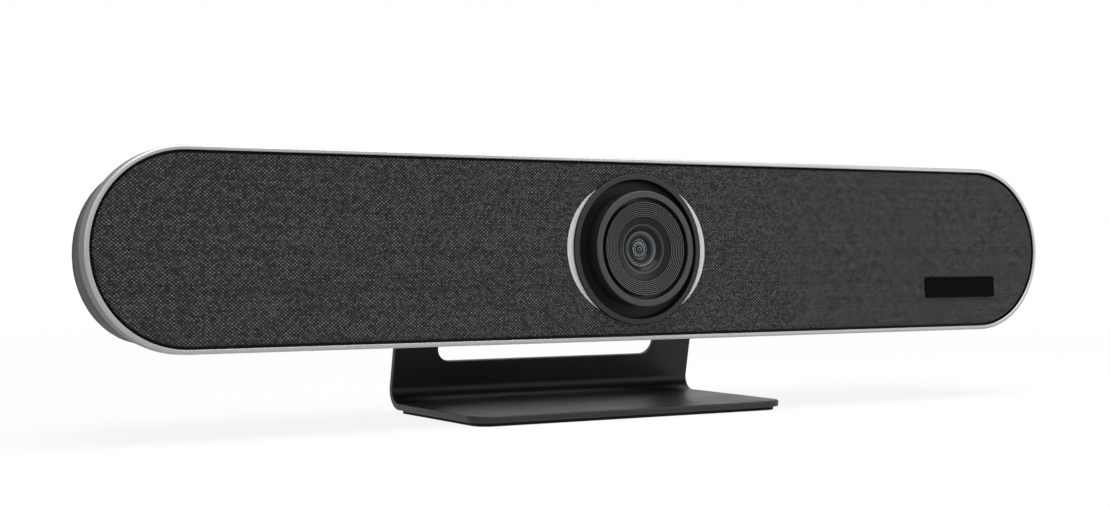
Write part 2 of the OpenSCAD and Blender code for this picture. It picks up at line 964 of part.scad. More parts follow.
module grille_fabric() {
  color("#36383a")
    on_bar()
      difference() {
        pill(half_run) {
          translate([0, fabric_recess])
            square([fabric_r, fabric_thickness]);
          translate([panel_r + fit_gap, fabric_recess])
            square([fabric_thickness, fabric_thickness + fabric_wrap]);
        }
        camera_hole(fabric_recess - over, panel_y + over, 2 * fit_gap);
      }
}

module nameplate() {
  color("#101113")
    on_bar()
      bar_block(
        nameplate_width, nameplate_height,
        fabric_recess - nameplate_thickness, fabric_recess,
        bar_length / 2 - nameplate_right, -nameplate_drop
      );
}

// Camera unit

module lens_cup() {
  bowl_r = cup_r - cup_rim;
  side_r = cup_r - cup_wall;
  floor_r = hood_body_r + fit_gap;
  color("#1c1d1f")
    on_bar()
      turned()
        polygon([
          [bowl_r, cup_front_y],
          [cup_r, cup_front_y],
          [cup_r, bracket_y],
          [side_r, bracket_y],
          [side_r, cup_floor_y + cup_floor],
          [floor_r, cup_floor_y + cup_floor],
          [floor_r, cup_floor_y],
          [bowl_r, cup_floor_y]
        ]);
}

// Crescent that carries the light out beside the cup
module light_guide() {
  color("#d4d6d6")
    on_bar()
      difference() {
        rod(light_radius, fabric_recess, seat_y, light_shift);
        rod(cup_r + fit_gap, fabric_recess - over, seat_y + over);
      }
}

module light_guide_left() {
  on_left()
    light_guide();
}

module light_guide_right() {
  light_guide();
}

module light_boards() {
  color("#1f5a3a")
    on_bar()
      for (side = [0, 1])
        mirror([side, 0, 0])
          intersection() {
            difference() {
              rod(light_board_r, light_board_y, light_board_y + light_board_thickness);
              rod(cup_r + loose_gap, light_board_y - over, light_board_y + light_board_thickness + over);
            }
            block(
              [light_board_x, light_board_y - over, -light_board_half_z],
              [light_board_r + over, light_board_y + light_board_thickness + over, light_board_half_z]
            );
          }
}

module status_leds() {
  color("#f2f0dc")
    on_bar()
      for (side = [0, 1])
        mirror([side, 0, 0])
          for (a = [-led_angle, 0, led_angle])
            rotate([0, -a, 0])
              bar_block(led_size, led_size, seat_y, light_board_y, led_r, 0);
}

module lens_hood() {
  color("#252628")
    on_bar()
      turned()
        polygon([
          [hood_inner_r, hood_front_y],
          [hood_r - hood_bevel, hood_front_y],
          [hood_r, hood_front_y + hood_bevel],
          [hood_r, hood_front_y + hood_collar],
          [hood_body_r, hood_front_y + hood_collar],
          [hood_body_r, bracket_y],
          [hood_inner_r, bracket_y],
          [hood_inner_r, shelf_y + shelf_thickness],
          [shelf_r, shelf_y + shelf_thickness],
          [shelf_r, shelf_y],
          [hood_inner_r, shelf_y]
        ]);
}

module lens_trim_ring() {
  color("#2b2c2e")
    on_bar()
      turned()
        polygon(concat(
          [for (i = [0:trim_ribs - 1]) each rib_points(i)],
          [
            [trim_ribbed_r, trim_face_y(trim_ribs)],
            [trim_bore_r, hood_front_y + trim_lip_depth],
            [trim_bore_r, shelf_y],
            [trim_r, shelf_y]
          ]
        ));
}

// Depth of the ribbed face after a number of ribs
function trim_face_y(count) = trim_front_y + count * trim_pitch * trim_rib_slope;

// Outline of one rib and of the groove on its inner side
function rib_points(i) = [
  [trim_r - i * trim_pitch, trim_face_y(i)],
  [trim_r - (i + rib_land_share) * trim_pitch, trim_face_y(i)],
  [trim_r - (i + rib_land_share) * trim_pitch, trim_face_y(i) + rib_depth],
  [trim_r - (i + 1) * trim_pitch, trim_face_y(i) + rib_depth]
];

module lens_barrel() {
  barrel_front_y = hood_front_y + barrel_set_back;
  color("#1a1b1d")
    on_bar()
      turned()
        polygon([
          [recess_r, recess_ring_y],
          [barrel_r - barrel_edge, barrel_front_y],
          [barrel_r, barrel_front_y],
          [barrel_r, barrel_back_y],
          [bore_r, barrel_back_y],
          [bore_r, lens_seat_y],
          [glass_r, lens_seat_y],
          [glass_r, recess_ring_y]
        ]);
}

// Lens with a flat rim, bulging by its sag on the front, the back or both
module lens_shape(y, rim, bulge_r, front_sag, back_sag) {
  color("#8fb0b8", 0.6)
    on_bar()
      turned() {
        translate([0, y])
          square([element_r, rim]);
        if (front_sag > 0)
          translate([0, y])
            bulge(bulge_r, front_sag, -1);
        if (back_sag > 0)
          translate([0, y + rim])
            bulge(bulge_r, back_sag, 1);
      }
}

// Half of a circle's segment, as wide as r and as high as its sag
module bulge(r, sag, way) {
  ball_r = (r * r + sag * sag) / (2 * sag);
  intersection() {
    translate([0, -way * (ball_r - sag)])
      circle(r = ball_r);
    translate([0, way > 0 ? 0 : -sag])
      square([r, sag]);
  }
}

module front_lens() {
  lens_shape(lens_seat_y, front_lens_rim, glass_r - fit_gap, lens_sag, 0);
}

module middle_lens() {
  lens_shape(middle_lens_y, middle_lens_rim, glass_r - fit_gap, lens_sag, lens_sag / 2);
}

module rear_lens() {
  lens_shape(rear_lens_y, rear_lens_rim, glass_r - fit_gap, 0, lens_sag);
}

// Rings that keep the glasses apart; the second one is the aperture
module lens_spacers() {
  color("#0f1011")
    on_bar() {
      lens_ring(lens_seat_y + front_lens_rim, front_spacer, spacer_wall);
      lens_ring(middle_lens_y + middle_lens_rim, rear_spacer, spacer_wall);
      lens_ring(middle_lens_y + middle_lens_rim + rear_spacer / 2, rear_spacer / 4, aperture_wall);
      lens_ring(end_ring_y, end_ring, spacer_wall);
    }
}

module lens_ring(y, length, wall) {
  difference() {
    rod(element_r, y, y + length);
    rod(element_r - wall, y - over, y + length + over);
  }
}

module infrared_filter() {
  color("#9a4a55")
    on_bar()
      bar_block(filter_width, filter_height, filter_seat_y - filter_thickness, filter_seat_y);
}

module lens_mount() {
  color("#202123")
    on_bar()
      difference() {
        bar_block(mount_width, mount_width, mount_front_y, mount_back_y);
        rod(barrel_r + fit_gap, mount_front_y - over, filter_seat_y);
        bar_block(
          filter_width - 2 * port_ledge_thickness, filter_height - 2 * port_ledge_thickness,
          mount_front_y, mount_back_y + over
        );
        bar_block(
          sensor_width + 2 * mount_web, sensor_height + 2 * mount_web,
          mount_back_y - mount_pocket, mount_back_y + over
        );
      }
}

module image_sensor() {
  color("#3b4a6b")
    on_bar()
      bar_block(sensor_width, sensor_height, mount_back_y - sensor_thickness, mount_back_y);
}

module sensor_board() {
  color("#1f5a3a")
    on_bar() {
      bar_block(sensor_board_width, sensor_board_height, mount_back_y, sensor_board_back_y);
      bar_block(
        ribbon_width + 2 * post_wall, connector_height,
        sensor_board_back_y, sensor_board_back_y + connector_depth,
        0, ribbon_foot_z - connector_height / 2
      );
    }
}

module camera_bracket() {
  back_y = bracket_y + bracket_thickness;
  color("#8d9092")
    on_bar()
      difference() {
        union() {
          bar_block(bracket_width, bracket_height, bracket_y, back_y);
          for (side = [-1, 1])
            bar_block(
              bracket_width, bracket_thickness, bracket_y, back_y + bracket_flange,
              0, side * (bracket_height - bracket_thickness) / 2
            );
        }
        rod(barrel_r + loose_gap, bracket_y - over, back_y + over);
        for (p = bracket_posts)
          rod(screw_hole_r, bracket_y - over, back_y + over, p.x, p.y);
      }
}

module bracket_screws() {
  color("#c3c5c6")
    on_bar()
      for (p = bracket_posts)
        screw(p.x, bracket_y + bracket_thickness, p.y, bracket_y + bracket_thickness - seat_y - 2 * over);
}

// Flat cable from the sensor board up and back to the main board
module camera_ribbon() {
  color("#b06b2c")
    on_bar()
      rotate([90, 0, 90])
        linear_extrude(ribbon_width, center = true) {
          translate([ribbon_y - ribbon_thickness / 2, ribbon_foot_z])
            square([ribbon_thickness, ribbon_top_z - ribbon_bend - ribbon_foot_z]);
          translate([ribbon_y + ribbon_bend, ribbon_top_z - ribbon_thickness / 2])
            square([main_board_y - ribbon_y - ribbon_bend, ribbon_thickness]);
          translate([ribbon_y + ribbon_bend, ribbon_top_z - ribbon_bend])
            ribbon_corner();
        }
}

// Quarter ring between the ribbon's two straight runs
module ribbon_corner() {
  reach = ribbon_bend + ribbon_thickness;
  intersection() {
    difference() {
      circle(r = ribbon_bend + ribbon_thickness / 2);
      circle(r = ribbon_bend - ribbon_thickness / 2);
    }
    translate([-reach, 0])
      square(reach);
  }
}

// Speakers, drawn for the right side

module speaker_basket() {
  color("#2e2f31")
    on_bar()
      difference() {
        turned(speaker_x)
          polygon([
            [flange_inner_r, flange_y],
            [flange_r, flange_y],
            [flange_r, chamber_y],
            [chamber_hole_r - loose_gap, chamber_y],
            [basket_neck_r, basket_back_y],
            [basket_neck_r, magnet_y],
            [basket_hole_r, magnet_y],
            [basket_hole_r, basket_back_y],
            [basket_neck_r - 2 * basket_shell, basket_back_y],
            [flange_inner_r, chamber_y]
          ]);
        for (i = [0:basket_spokes - 1])
          basket_window(i * 360 / basket_spokes);
      }
}

// Opening in the basket's side between two spokes
module basket_window(angle) {
  margin = 2 * basket_shell;
  facing_back(speaker_x, chamber_y + margin, 0)
    rotate([0, 0, angle - basket_window_half_angle])
      rotate_extrude(angle = 2 * basket_window_half_angle)
        translate([coil_gap_outer_r, 0])
          square([flange_r, basket_back_y - chamber_y - 2 * margin]);
}

module speaker_magnet() {
  color("#6a6d70")
    on_bar()
      difference() {
        rod(magnet_r, magnet_y, magnet_back_y, speaker_x);
        difference() {
          rod(coil_gap_outer_r, magnet_y - over, magnet_y + coil_gap_depth, speaker_x);
          rod(coil_gap_inner_r, magnet_y - 2 * over, magnet_back_y, speaker_x);
        }
      }
}

module speaker_surround() {
  color("#18191a")
    on_bar()
      turned(speaker_x)
        difference() {
          translate([roll_centre_r, roll_y])
            circle(r = roll_r);
          translate([roll_centre_r, roll_y])
            circle(r = roll_r - roll_wall);
          translate([roll_centre_r - roll_r - over, roll_y])
            square([2 * (roll_r + over), roll_r + over]);
        }
}

// Cone with its dust cap and the tube of its coil
module speaker_cone() {
  cap_r = coil_r - coil_wall;
  color("#3c3d40")
    on_bar()
      turned(speaker_x) {
        polygon([
          [cone_edge_r, roll_y],
          [cone_edge_r, roll_y + cone_wall],
          [coil_r, coil_top_y + cone_wall],
          [coil_r, coil_top_y + coil_length],
          [cap_r, coil_top_y + coil_length],
          [cap_r, coil_top_y]
        ]);
        difference() {
          translate([0, coil_top_y + cone_wall])
            bulge(coil_r, dust_cap_rise, -1);
          translate([0, coil_top_y + 2 * cone_wall])
            bulge(coil_r, dust_cap_rise, -1);
        }
      }
}

module speaker_gasket() {
  color("#0e0e0f")
    on_bar()
      difference() {
        rod(flange_r, seat_y, flange_y, speaker_x);
        rod(flange_inner_r, seat_y - over, flange_y + over, speaker_x);
      }
}

module speaker_chamber() {
  inner_z = chamber_half_z - chamber_wall;
  color("#2a2b2d")
    on_bar()
      difference() {
        block(
          [chamber_inner_x, chamber_y, -chamber_half_z],
          [chamber_outer_x, chamber_back_y, chamber_half_z]
        );
        block(
          [chamber_inner_x + chamber_wall, chamber_y + chamber_wall, -inner_z],
          [chamber_outer_x - chamber_wall, chamber_back_y - chamber_wall, inner_z]
        );
        rod(chamber_hole_r, chamber_y - over, chamber_y + chamber_wall + over, speaker_x);
        translate([chamber_inner_x - over, lead_y, lead_z])
          rotate([0, 90, 0])
            cylinder(r = lead_r + loose_gap, h = chamber_wall + 2 * over);
      }
}

// Lead from the plug on the main board, through the chamber's side, to the back of the magnet
module speaker_lead() {
  bend_x = speaker_x - lead_bend;
  start_x = main_board_width / 2 - post_wall;
  translate([start_x, lead_y, lead_z])
    rotate([0, 90, 0])
      cylinder(r = lead_r, h = bend_x - start_x);
  translate([bend_x, lead_y - lead_bend, lead_z])
    rotate_extrude(angle = 90)
      translate([lead_bend, 0])
        circle(r = lead_r);
  rod(lead_r, magnet_back_y, magnet_back_y + lead_tail, bend_x + lead_bend, lead_z);
}

module speaker_basket_left() {
  on_left()
    speaker_basket();
}

module speaker_basket_right() {
  speaker_basket();
}

module speaker_magnet_left() {
  on_left()
    speaker_magnet();
}

module speaker_magnet_right() {
  speaker_magnet();
}

module speaker_surround_left() {
  on_left()
    speaker_surround();
}

module speaker_surround_right() {
  speaker_surround();
}

module speaker_cone_left() {
  on_left()
    speaker_cone();
}

module speaker_cone_right() {
  speaker_cone();
}

module speaker_gaskets() {
  speaker_gasket();
  on_left()
    speaker_gasket();
}

module speaker_chamber_left() {
  on_left()
    speaker_chamber();
}

module speaker_chamber_right() {
  speaker_chamber();
}

module speaker_leads() {
  color("#8c2f2a")
    on_bar() {
      speaker_lead();
      on_left()
        speaker_lead();
    }
}

// Microphones

// Places of all microphones, in the bar's X and Z
function microphone_places() = [
  for (side = [-1, 1])
    for (i = [0:microphone_count - 1])
      [side * (microphone_first_x + i * microphone_pitch), strip_z]
];

module microphone_boards() {
  color("#1f5a3a")
    on_bar()
      for (side = [0, 1])
        mirror([side, 0, 0])
          block(
            [microphone_first_x - strip_margin, strip_y, strip_z - strip_height / 2],
            [microphone_last_x + strip_margin, strip_y + strip_thickness, strip_z + strip_height / 2]
          );
}

module microphones() {
  color("#c9b26a")
    on_bar()
      for (p = microphone_places())
        bar_block(microphone_size, microphone_size, strip_y - microphone_height, strip_y, p.x, p.y);
}

module microphone_gaskets() {
  color("#0e0e0f")
    on_bar()
      for (p = microphone_places())
        difference() {
          bar_block(
            microphone_gasket_size, microphone_gasket_size,
            seat_y, seat_y + microphone_gasket, p.x, p.y
          );
          rod(microphone_hole_r, seat_y - over, seat_y + microphone_gasket + over, p.x, p.y);
        }
}

// Electronics

module main_board() {
  color("#1f5a3a")
    on_bar() {
      difference() {
        bar_block(main_board_width, main_board_height, main_board_y, main_board_back_y);
        for (p = board_posts)
          rod(screw_hole_r, main_board_y - over, main_board_back_y + over, p.x, p.y);
      }
      for (side = [-1, 1])
        bar_block(
          lead_plug_width, lead_plug_height, lead_y - lead_plug_height / 2, main_board_y,
          side * (main_board_width / 2 - post_wall - lead_plug_width / 2), lead_z
        );
    }
}

module board_screws() {
  color("#c3c5c6")
    on_bar()
      for (p = board_posts)
        screw(p.x, main_board_y, p.y, board_thickness + board_screw_grip - over, -1);
}

module processor() {
  color("#17181a")
    on_bar()
      bar_block(chip_size, chip_size, chip_y, main_board_y);
}

module thermal_pad() {
  color("#8fa3b5")
    on_bar()
      bar_block(chip_size, chip_size, sink_back_y, chip_y);
}

module heat_sink() {
  pitch = (sink_width - sink_fin) / (sink_fins - 1);
  base_y = sink_back_y - sink_base;
  color("#9b9ea1")
    on_bar() {
      bar_block(sink_width, sink_height, base_y, sink_back_y);
      for (i = [0:sink_fins - 1])
        bar_block(
          sink_fin, sink_height, base_y - sink_fin_depth, base_y,
          (i - (sink_fins - 1) / 2) * pitch
        );
    }
}

// Plate at the bottom of the rear recess
module port_plate() {
  y0 = port_ledge_y - over;
  y1 = port_plate_y + over;
  play = 2 * loose_gap;
  color("#1d1e20")
    on_bar()
      difference() {
        bar_block(recess_width - play, recess_height - play, port_ledge_y, port_plate_y, 0, recess_z);
        bar_block(power_width + play, power_height + play, y0, y1, power_x, recess_z);
        bar_block(network_width + play, network_height + play, y0, y1, network_x, recess_z);
        bar_block(display_width + play, data_height + play, y0, y1, display_x, recess_z);
        bar_block(wide_data_width + play, data_height + play, y0, y1, wide_data_x, recess_z);
        bar_block(small_data_width + play, small_data_height + play, y0, y1, small_data_x, recess_z);
        bar_block(audio_width + play, audio_width + play, y0, y1, audio_x, recess_z);
        rod(button_r + loose_gap, y0, y1, button_x, recess_z);
      }
}

module network_socket() {
  mouth_y = port_plate_y - network_depth;
  color("#b4b7ba")
    on_bar()
      difference() {
        bar_block(network_width, network_height, main_board_back_y, port_plate_y, network_x, recess_z);
        bar_block(
          network_width - 2 * network_wall, network_bay_height,
          mouth_y, port_plate_y + over, network_x, recess_z
        );
        bar_block(
          network_latch_width, network_latch_height, mouth_y, port_plate_y + over,
          network_x, recess_z - (network_bay_height + network_latch_height) / 2 + socket_wall
        );
      }
}

module data_sockets() {
  color("#a9acaf")
    on_bar() {
      data_socket(display_x, display_width, data_height, tongue);
      data_socket(wide_data_x, wide_data_width, data_height, tongue);
      data_socket(small_data_x, small_data_width, small_data_height, small_tongue);
    }
}

// Flat shell with a contact tongue in its mouth
module data_socket(x, width, height, tongue_height) {
  mouth_y = port_plate_y - data_depth;
  difference() {
    bar_block(width, height, main_board_back_y, port_plate_y, x, recess_z);
    bar_block(
      width - 2 * socket_wall, height - 2 * socket_wall,
      mouth_y, port_plate_y + over, x, recess_z
    );
  }
  bar_block(
    width - 5 * socket_wall, tongue_height,
    mouth_y - socket_wall, port_plate_y - socket_wall, x, recess_z
  );
}

module power_socket() {
  color("#26272a")
    on_bar()
      difference() {
        bar_block(power_width, power_height, main_board_back_y, port_plate_y, power_x, recess_z);
        difference() {
          rod(power_bore_r, port_plate_y - power_bore_depth, port_plate_y + over, power_x, recess_z);
          rod(power_pin_r, port_ledge_y - power_bore_depth, port_plate_y - over, power_x, recess_z);
        }
      }
}

module audio_socket() {
  color("#26272a")
    on_bar()
      difference() {
        bar_block(audio_width, audio_width, main_board_back_y, port_plate_y, audio_x, recess_z);
        rod(audio_bore_r, port_plate_y - audio_depth, port_plate_y + over, audio_x, recess_z);
      }
}

module power_button() {
  flange_back_y = port_ledge_y - running_gap - button_flange;
  color("#5b5e61")
    on_bar() {
      rod(button_r, flange_back_y, port_plate_y + button_proud, button_x, recess_z);
      rod(button_flange_r, flange_back_y, port_ledge_y - running_gap, button_x, recess_z);
      rod(button_stem_r, switch_top_y + button_travel + fit_gap, flange_back_y, button_x, recess_z);
    }
}

module power_switch() {
  color("#9c9fa2")
    on_bar() {
      bar_block(
        switch_size, switch_size, main_board_back_y, main_board_back_y + switch_height,
        button_x, recess_z
      );
      rod(plunger_r, main_board_back_y + switch_height, switch_top_y, button_x, recess_z);
    }
}

stand_bracket();
base_pad();
hinge_barrel_left();
hinge_barrel_right();
arm_screws();
hinge_leaf_left();
hinge_leaf_right();
leaf_screws();
rear_housing();
front_frame();
housing_screws();
grille_panel();
grille_fabric();
nameplate();
lens_cup();
light_guide_left();
light_guide_right();
light_boards();
status_leds();
lens_hood();
lens_trim_ring();
lens_barrel();
front_lens();
middle_lens();
rear_lens();
lens_spacers();
infrared_filter();
lens_mount();
image_sensor();
sensor_board();
camera_bracket();
bracket_screws();
camera_ribbon();
speaker_basket_left();
speaker_basket_right();
speaker_magnet_left();
speaker_magnet_right();
speaker_surround_left();
speaker_surround_right();
speaker_cone_left();
speaker_cone_right();
speaker_gaskets();
speaker_chamber_left();
speaker_chamber_right();
speaker_leads();
microphone_boards();
microphones();
microphone_gaskets();
main_board();
board_screws();
processor();
thermal_pad();
heat_sink();
port_plate();
network_socket();
data_sockets();
power_socket();
audio_socket();
power_button();
power_switch();
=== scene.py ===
import json
import math

import bmesh
import bpy
from mathutils import Matrix, Vector

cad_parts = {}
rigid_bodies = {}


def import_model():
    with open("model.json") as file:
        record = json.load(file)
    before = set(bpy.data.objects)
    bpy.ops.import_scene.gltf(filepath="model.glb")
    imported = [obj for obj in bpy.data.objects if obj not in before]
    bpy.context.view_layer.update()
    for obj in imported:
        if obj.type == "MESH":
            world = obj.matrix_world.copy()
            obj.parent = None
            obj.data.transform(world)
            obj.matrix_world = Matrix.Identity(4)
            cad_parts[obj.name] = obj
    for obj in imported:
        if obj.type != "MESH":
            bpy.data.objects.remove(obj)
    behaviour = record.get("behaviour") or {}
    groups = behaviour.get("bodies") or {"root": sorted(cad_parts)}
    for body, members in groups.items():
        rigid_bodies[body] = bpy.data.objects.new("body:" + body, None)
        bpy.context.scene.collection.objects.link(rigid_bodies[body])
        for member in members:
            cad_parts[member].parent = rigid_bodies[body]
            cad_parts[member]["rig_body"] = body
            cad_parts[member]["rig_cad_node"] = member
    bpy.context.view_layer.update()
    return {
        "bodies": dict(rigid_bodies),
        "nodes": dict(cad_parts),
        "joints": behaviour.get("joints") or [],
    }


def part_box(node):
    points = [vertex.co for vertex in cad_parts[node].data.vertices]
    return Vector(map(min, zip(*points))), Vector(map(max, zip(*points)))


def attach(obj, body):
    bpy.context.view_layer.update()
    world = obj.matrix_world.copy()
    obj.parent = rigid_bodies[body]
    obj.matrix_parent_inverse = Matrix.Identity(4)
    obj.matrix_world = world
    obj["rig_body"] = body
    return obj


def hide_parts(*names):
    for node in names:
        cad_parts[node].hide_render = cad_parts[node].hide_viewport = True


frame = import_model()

nodes = frame["nodes"]
joints = {joint["name"]: joint for joint in frame["joints"]}
slots = {name: node.data.materials[0].name for name, node in nodes.items()}
mm = 0.001
rowFrame = Matrix.Scale(mm, 4)  # millimetres in the row's frame

for thing in list(bpy.data.objects):
    if "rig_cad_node" not in thing and thing not in frame["bodies"].values():
        bpy.data.objects.remove(thing)


# The bar leans back, so it has a frame of its own: Y along its depth from the rim, Z up its face
def reachAlong(node, axis):
    depths = [vertex.co.dot(axis) for vertex in nodes[node].data.vertices]
    return min(depths), max(depths)


def frameAt(centre, back, up):  # a frame in millimetres whose X points to the right
    return Matrix.Translation(centre) @ Matrix((barRight, back, up)).transposed().to_4x4() @ rowFrame


barRight = Vector((1, 0, 0))
barBack = Vector(joints["left_cone_travel"]["axis"]).normalized()
barUp = barRight.cross(barBack)
faceLow, faceHigh = reachAlong("front_frame", barUp)
barCentre = barBack * reachAlong("front_frame", barBack)[0] + barUp * (faceLow + faceHigh) / 2
barFrame = frameAt(barCentre, barBack, barUp)
barLean = math.atan2(barUp.y, barUp.z)


def cornersOf(points):  # lowest and highest corner
    return [Vector(pick(point[axis] for point in points) for axis in range(3)) for pick in (min, max)]


def barBox(node):  # in the bar's frame, in millimetres
    return cornersOf([barFrame.inverted() @ vertex.co for vertex in nodes[node].data.vertices])


def turnedSize(node):  # radius, front and back of a piece round the lens's axis
    low, high = barBox(node)
    return (high.x - low.x) / 2, low.y, high.y


frameLow, frameHigh = barBox("front_frame")
outerR = (frameHigh.z - frameLow.z) / 2
halfRun = frameHigh.x - outerR
print("frame loaded:", len(nodes), "nodes, bar leans back", round(math.degrees(barLean), 2), "degrees")


# Mesh tools

def addObject(name, data):
    thing = bpy.data.objects.new(name, data)
    bpy.context.scene.collection.objects.link(thing)
    return thing


def polar(radius, turn, centreX=0):
    return Vector((centreX + radius * math.cos(turn), radius * math.sin(turn)))


def roundedOutline(corners, steps=5):  # corners as (x, y, radius), each drawn as an arc
    outline = []
    for index, (x, y, radius) in enumerate(corners):
        here = Vector((x, y))
        if radius == 0:
            outline.append(here)
            continue
        toLast = (Vector(corners[index - 1][:2]) - here).normalized()
        toNext = (Vector(corners[(index + 1) % len(corners)][:2]) - here).normalized()
        half = toLast.angle(toNext) / 2
        centre = here + (toLast + toNext).normalized() * (radius / math.sin(half))
        start = here + toLast * (radius / math.tan(half)) - centre
        end = here + toNext * (radius / math.tan(half)) - centre
        for step in range(steps + 1):
            outline.append(centre + start.lerp(end, step / steps).normalized() * radius)
    return outline


def sweep(bm, outline, stations, closed=True):  # each station turns an (r, y) point into a place
    rings = [[bm.verts.new(station(point)) for point in outline] for station in stations]
    count = len(outline)
    for ring, following in zip(rings, rings[1:] + rings[:1]):
        for index in range(count if closed else count - 1):
            after = (index + 1) % count
            bm.faces.new((ring[index], ring[after], following[after], following[index]))
    return rings


def turnStation(angle, x=0, z=0):
    return lambda point: (x + point[0] * math.cos(angle), point[1], z + point[0] * math.sin(angle))


def roundStations(segments, x=0, z=0):
    return [turnStation(2 * math.pi * index / segments, x, z) for index in range(segments)]


def pillStations(segments):
    turns = [math.pi * index / segments - math.pi / 2 for index in range(segments + 1)]
    rightEnd = [turnStation(turn, halfRun) for turn in turns]
    return rightEnd + [turnStation(turn + math.pi, -halfRun) for turn in turns]


def offsetLoop(outline, distance):  # moves a closed outline inwards
    moved = []
    for index, here in enumerate(outline):
        into = (here - outline[index - 1]).normalized()
        out = (outline[(index + 1) % len(outline)] - here).normalized()
        inward = Vector((-into.y - out.y, into.x + out.x)).normalized()
        square = max(0.5, inward.dot(Vector((-out.y, out.x))))
        moved.append(here + inward * (distance / square))
    return moved


def addLoop(bm, outline, depth):
    return [bm.verts.new((point.x, depth, point.y)) for point in outline]


def skinLoops(bm, loops):  # faces between closed loops of equally many points
    for ring, following in zip(loops, loops[1:]):
        for index in range(len(ring)):
            bm.faces.new((ring[index - 1], ring[index], following[index], following[index - 1]))


def plateMesh(outline, front, back, edge, steps=3):  # flat plate from front to back with rounded edges
    bm = bmesh.new()
    turns = [math.pi / 2 * step / steps for step in range(steps + 1)]
    levels = [(edge * (1 - math.sin(turn)), front + edge * (1 - math.cos(turn))) for turn in turns]
    levels += [(edge * (1 - math.cos(turn)), back - edge * (1 - math.sin(turn))) for turn in turns]
    loops = [addLoop(bm, offsetLoop(outline, inset), depth) for inset, depth in levels]
    skinLoops(bm, loops)
    bm.faces.new(loops[0])
    bm.faces.new(loops[-1])
    return bm


def finishPiece(name, bm, node, place=barFrame, sharp=35, slot=None):
    bmesh.ops.remove_doubles(bm, verts=bm.verts, dist=1e-5)
    bmesh.ops.recalc_face_normals(bm, faces=bm.faces)
    mesh = bpy.data.meshes.new(name)
    bm.to_mesh(mesh)
    bm.free()
    mesh.transform(place)
    return replaceNode(name, mesh, node, sharp, slot)


def dressPiece(name, mesh, slot, body, sharp=35):
    piece = addObject(name, mesh)
    mesh.shade_smooth()
    mesh.set_sharp_from_angle(angle=math.radians(sharp))
    mesh.materials.clear()
    mesh.materials.append(finishes[slot])
    smoother = piece.modifiers.new("evenNormals", "WEIGHTED_NORMAL")
    smoother.keep_sharp = True
    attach(piece, body)
    return piece


def replaceNode(name, mesh, node, sharp, slot=None):  # on the node's body, in its slot unless one is given
    piece = dressPiece(name, mesh, slot or slots[node], nodes[node]["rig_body"], sharp)
    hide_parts(node)
    return piece


def softenedCopy(node, name, edge, reshape=None, sharp=30):  # a CAD node's shape with its edges broken
    bm = bmesh.new()
    bm.from_mesh(nodes[node].data)
    bmesh.ops.remove_doubles(bm, verts=bm.verts, dist=1e-6)
    if reshape:
        for vertex in bm.verts:
            vertex.co = reshape(vertex.co)
    bmesh.ops.dissolve_limit(bm, angle_limit=math.radians(0.3), verts=bm.verts, edges=bm.edges)
    mesh = bpy.data.meshes.new(name)
    bm.to_mesh(mesh)
    bm.free()
    piece = replaceNode(name, mesh, node, sharp)
    breaker = piece.modifiers.new("brokenEdges", "BEVEL")
    breaker.width = edge * mm
    breaker.segments = 2
    breaker.limit_method = "ANGLE"
    breaker.angle_limit = math.radians(sharp)
    breaker.use_clamp_overlap = True
    piece.modifiers.move(1, 0)


# Shader node tools

def feed(tree, target, value):
    if isinstance(value, bpy.types.NodeSocket):
        tree.links.new(value, target)
    else:
        target.default_value = value


def feedAll(tree, node, inputs):  # by the socket's name or place
    for label, value in inputs.items():
        feed(tree, node.inputs[label], value)


def addNode(tree, kind, inputs=None, **settings):
    node = tree.nodes.new(kind)
    for setting, value in settings.items():
        setattr(node, setting, value)
    feedAll(tree, node, inputs or {})
    return node


def calc(tree, operation, *values):
    return addNode(tree, "ShaderNodeMath", dict(enumerate(values)), operation=operation).outputs[0]


def times(tree, product, *factors):
    for factor in factors:
        product = calc(tree, "MULTIPLY", product, factor)
    return product


def partsOf(tree, vector):
    return addNode(tree, "ShaderNodeSeparateXYZ", {0: vector}).outputs


def vectorOf(tree, x=0.0, y=0.0, z=0.0):
    return addNode(tree, "ShaderNodeCombineXYZ", {0: x, 1: y, 2: z}).outputs[0]


def mixColours(tree, share, first, second):  # each colour is a socket or three channels
    inputs = {"Factor": share}
    for place, shade in ((6, first), (7, second)):
        inputs[place] = shade if isinstance(shade, bpy.types.NodeSocket) else (*shade, 1)
    return addNode(tree, "ShaderNodeMix", inputs, data_type="RGBA").outputs[2]


def remap(tree, value, low, high, newLow=0.0, newHigh=1.0):
    inputs = dict(enumerate((value, low, high, newLow, newHigh)))
    return addNode(tree, "ShaderNodeMapRange", inputs).outputs[0]


def addSockets(tree, direction, sockets):
    for label, kind in sockets.items():
        tree.interface.new_socket(label, in_out=direction, socket_type="NodeSocket" + kind)


def newGroup(name, inputs, outputs):
    group = bpy.data.node_groups.new(name, "ShaderNodeTree")
    addSockets(group, "INPUT", inputs)
    addSockets(group, "OUTPUT", outputs)
    return group, group.nodes.new("NodeGroupInput").outputs, group.nodes.new("NodeGroupOutput").inputs


def useGroup(tree, group, **values):
    inputs = {label.replace("_", " "): value for label, value in values.items()}
    return addNode(tree, "ShaderNodeGroup", inputs, node_tree=group).outputs


# Fine grain of a moulded, coated or blasted surface, in two sizes
def makeGrainGroup():
    sockets = {"Place": "Vector", "Fineness": "Float", "Blotches": "Float"}
    group, given, made = newGroup("surfaceGrain", sockets, {"Grain": "Float", "Cloud": "Float"})
    for scale, detail, result in (("Fineness", 3.0, "Grain"), ("Blotches", 2.0, "Cloud")):
        inputs = {"Vector": given["Place"], "Scale": given[scale], "Detail": detail}
        feed(group, made[result], addNode(group, "ShaderNodeTexNoise", inputs).outputs["Fac"])
    return group


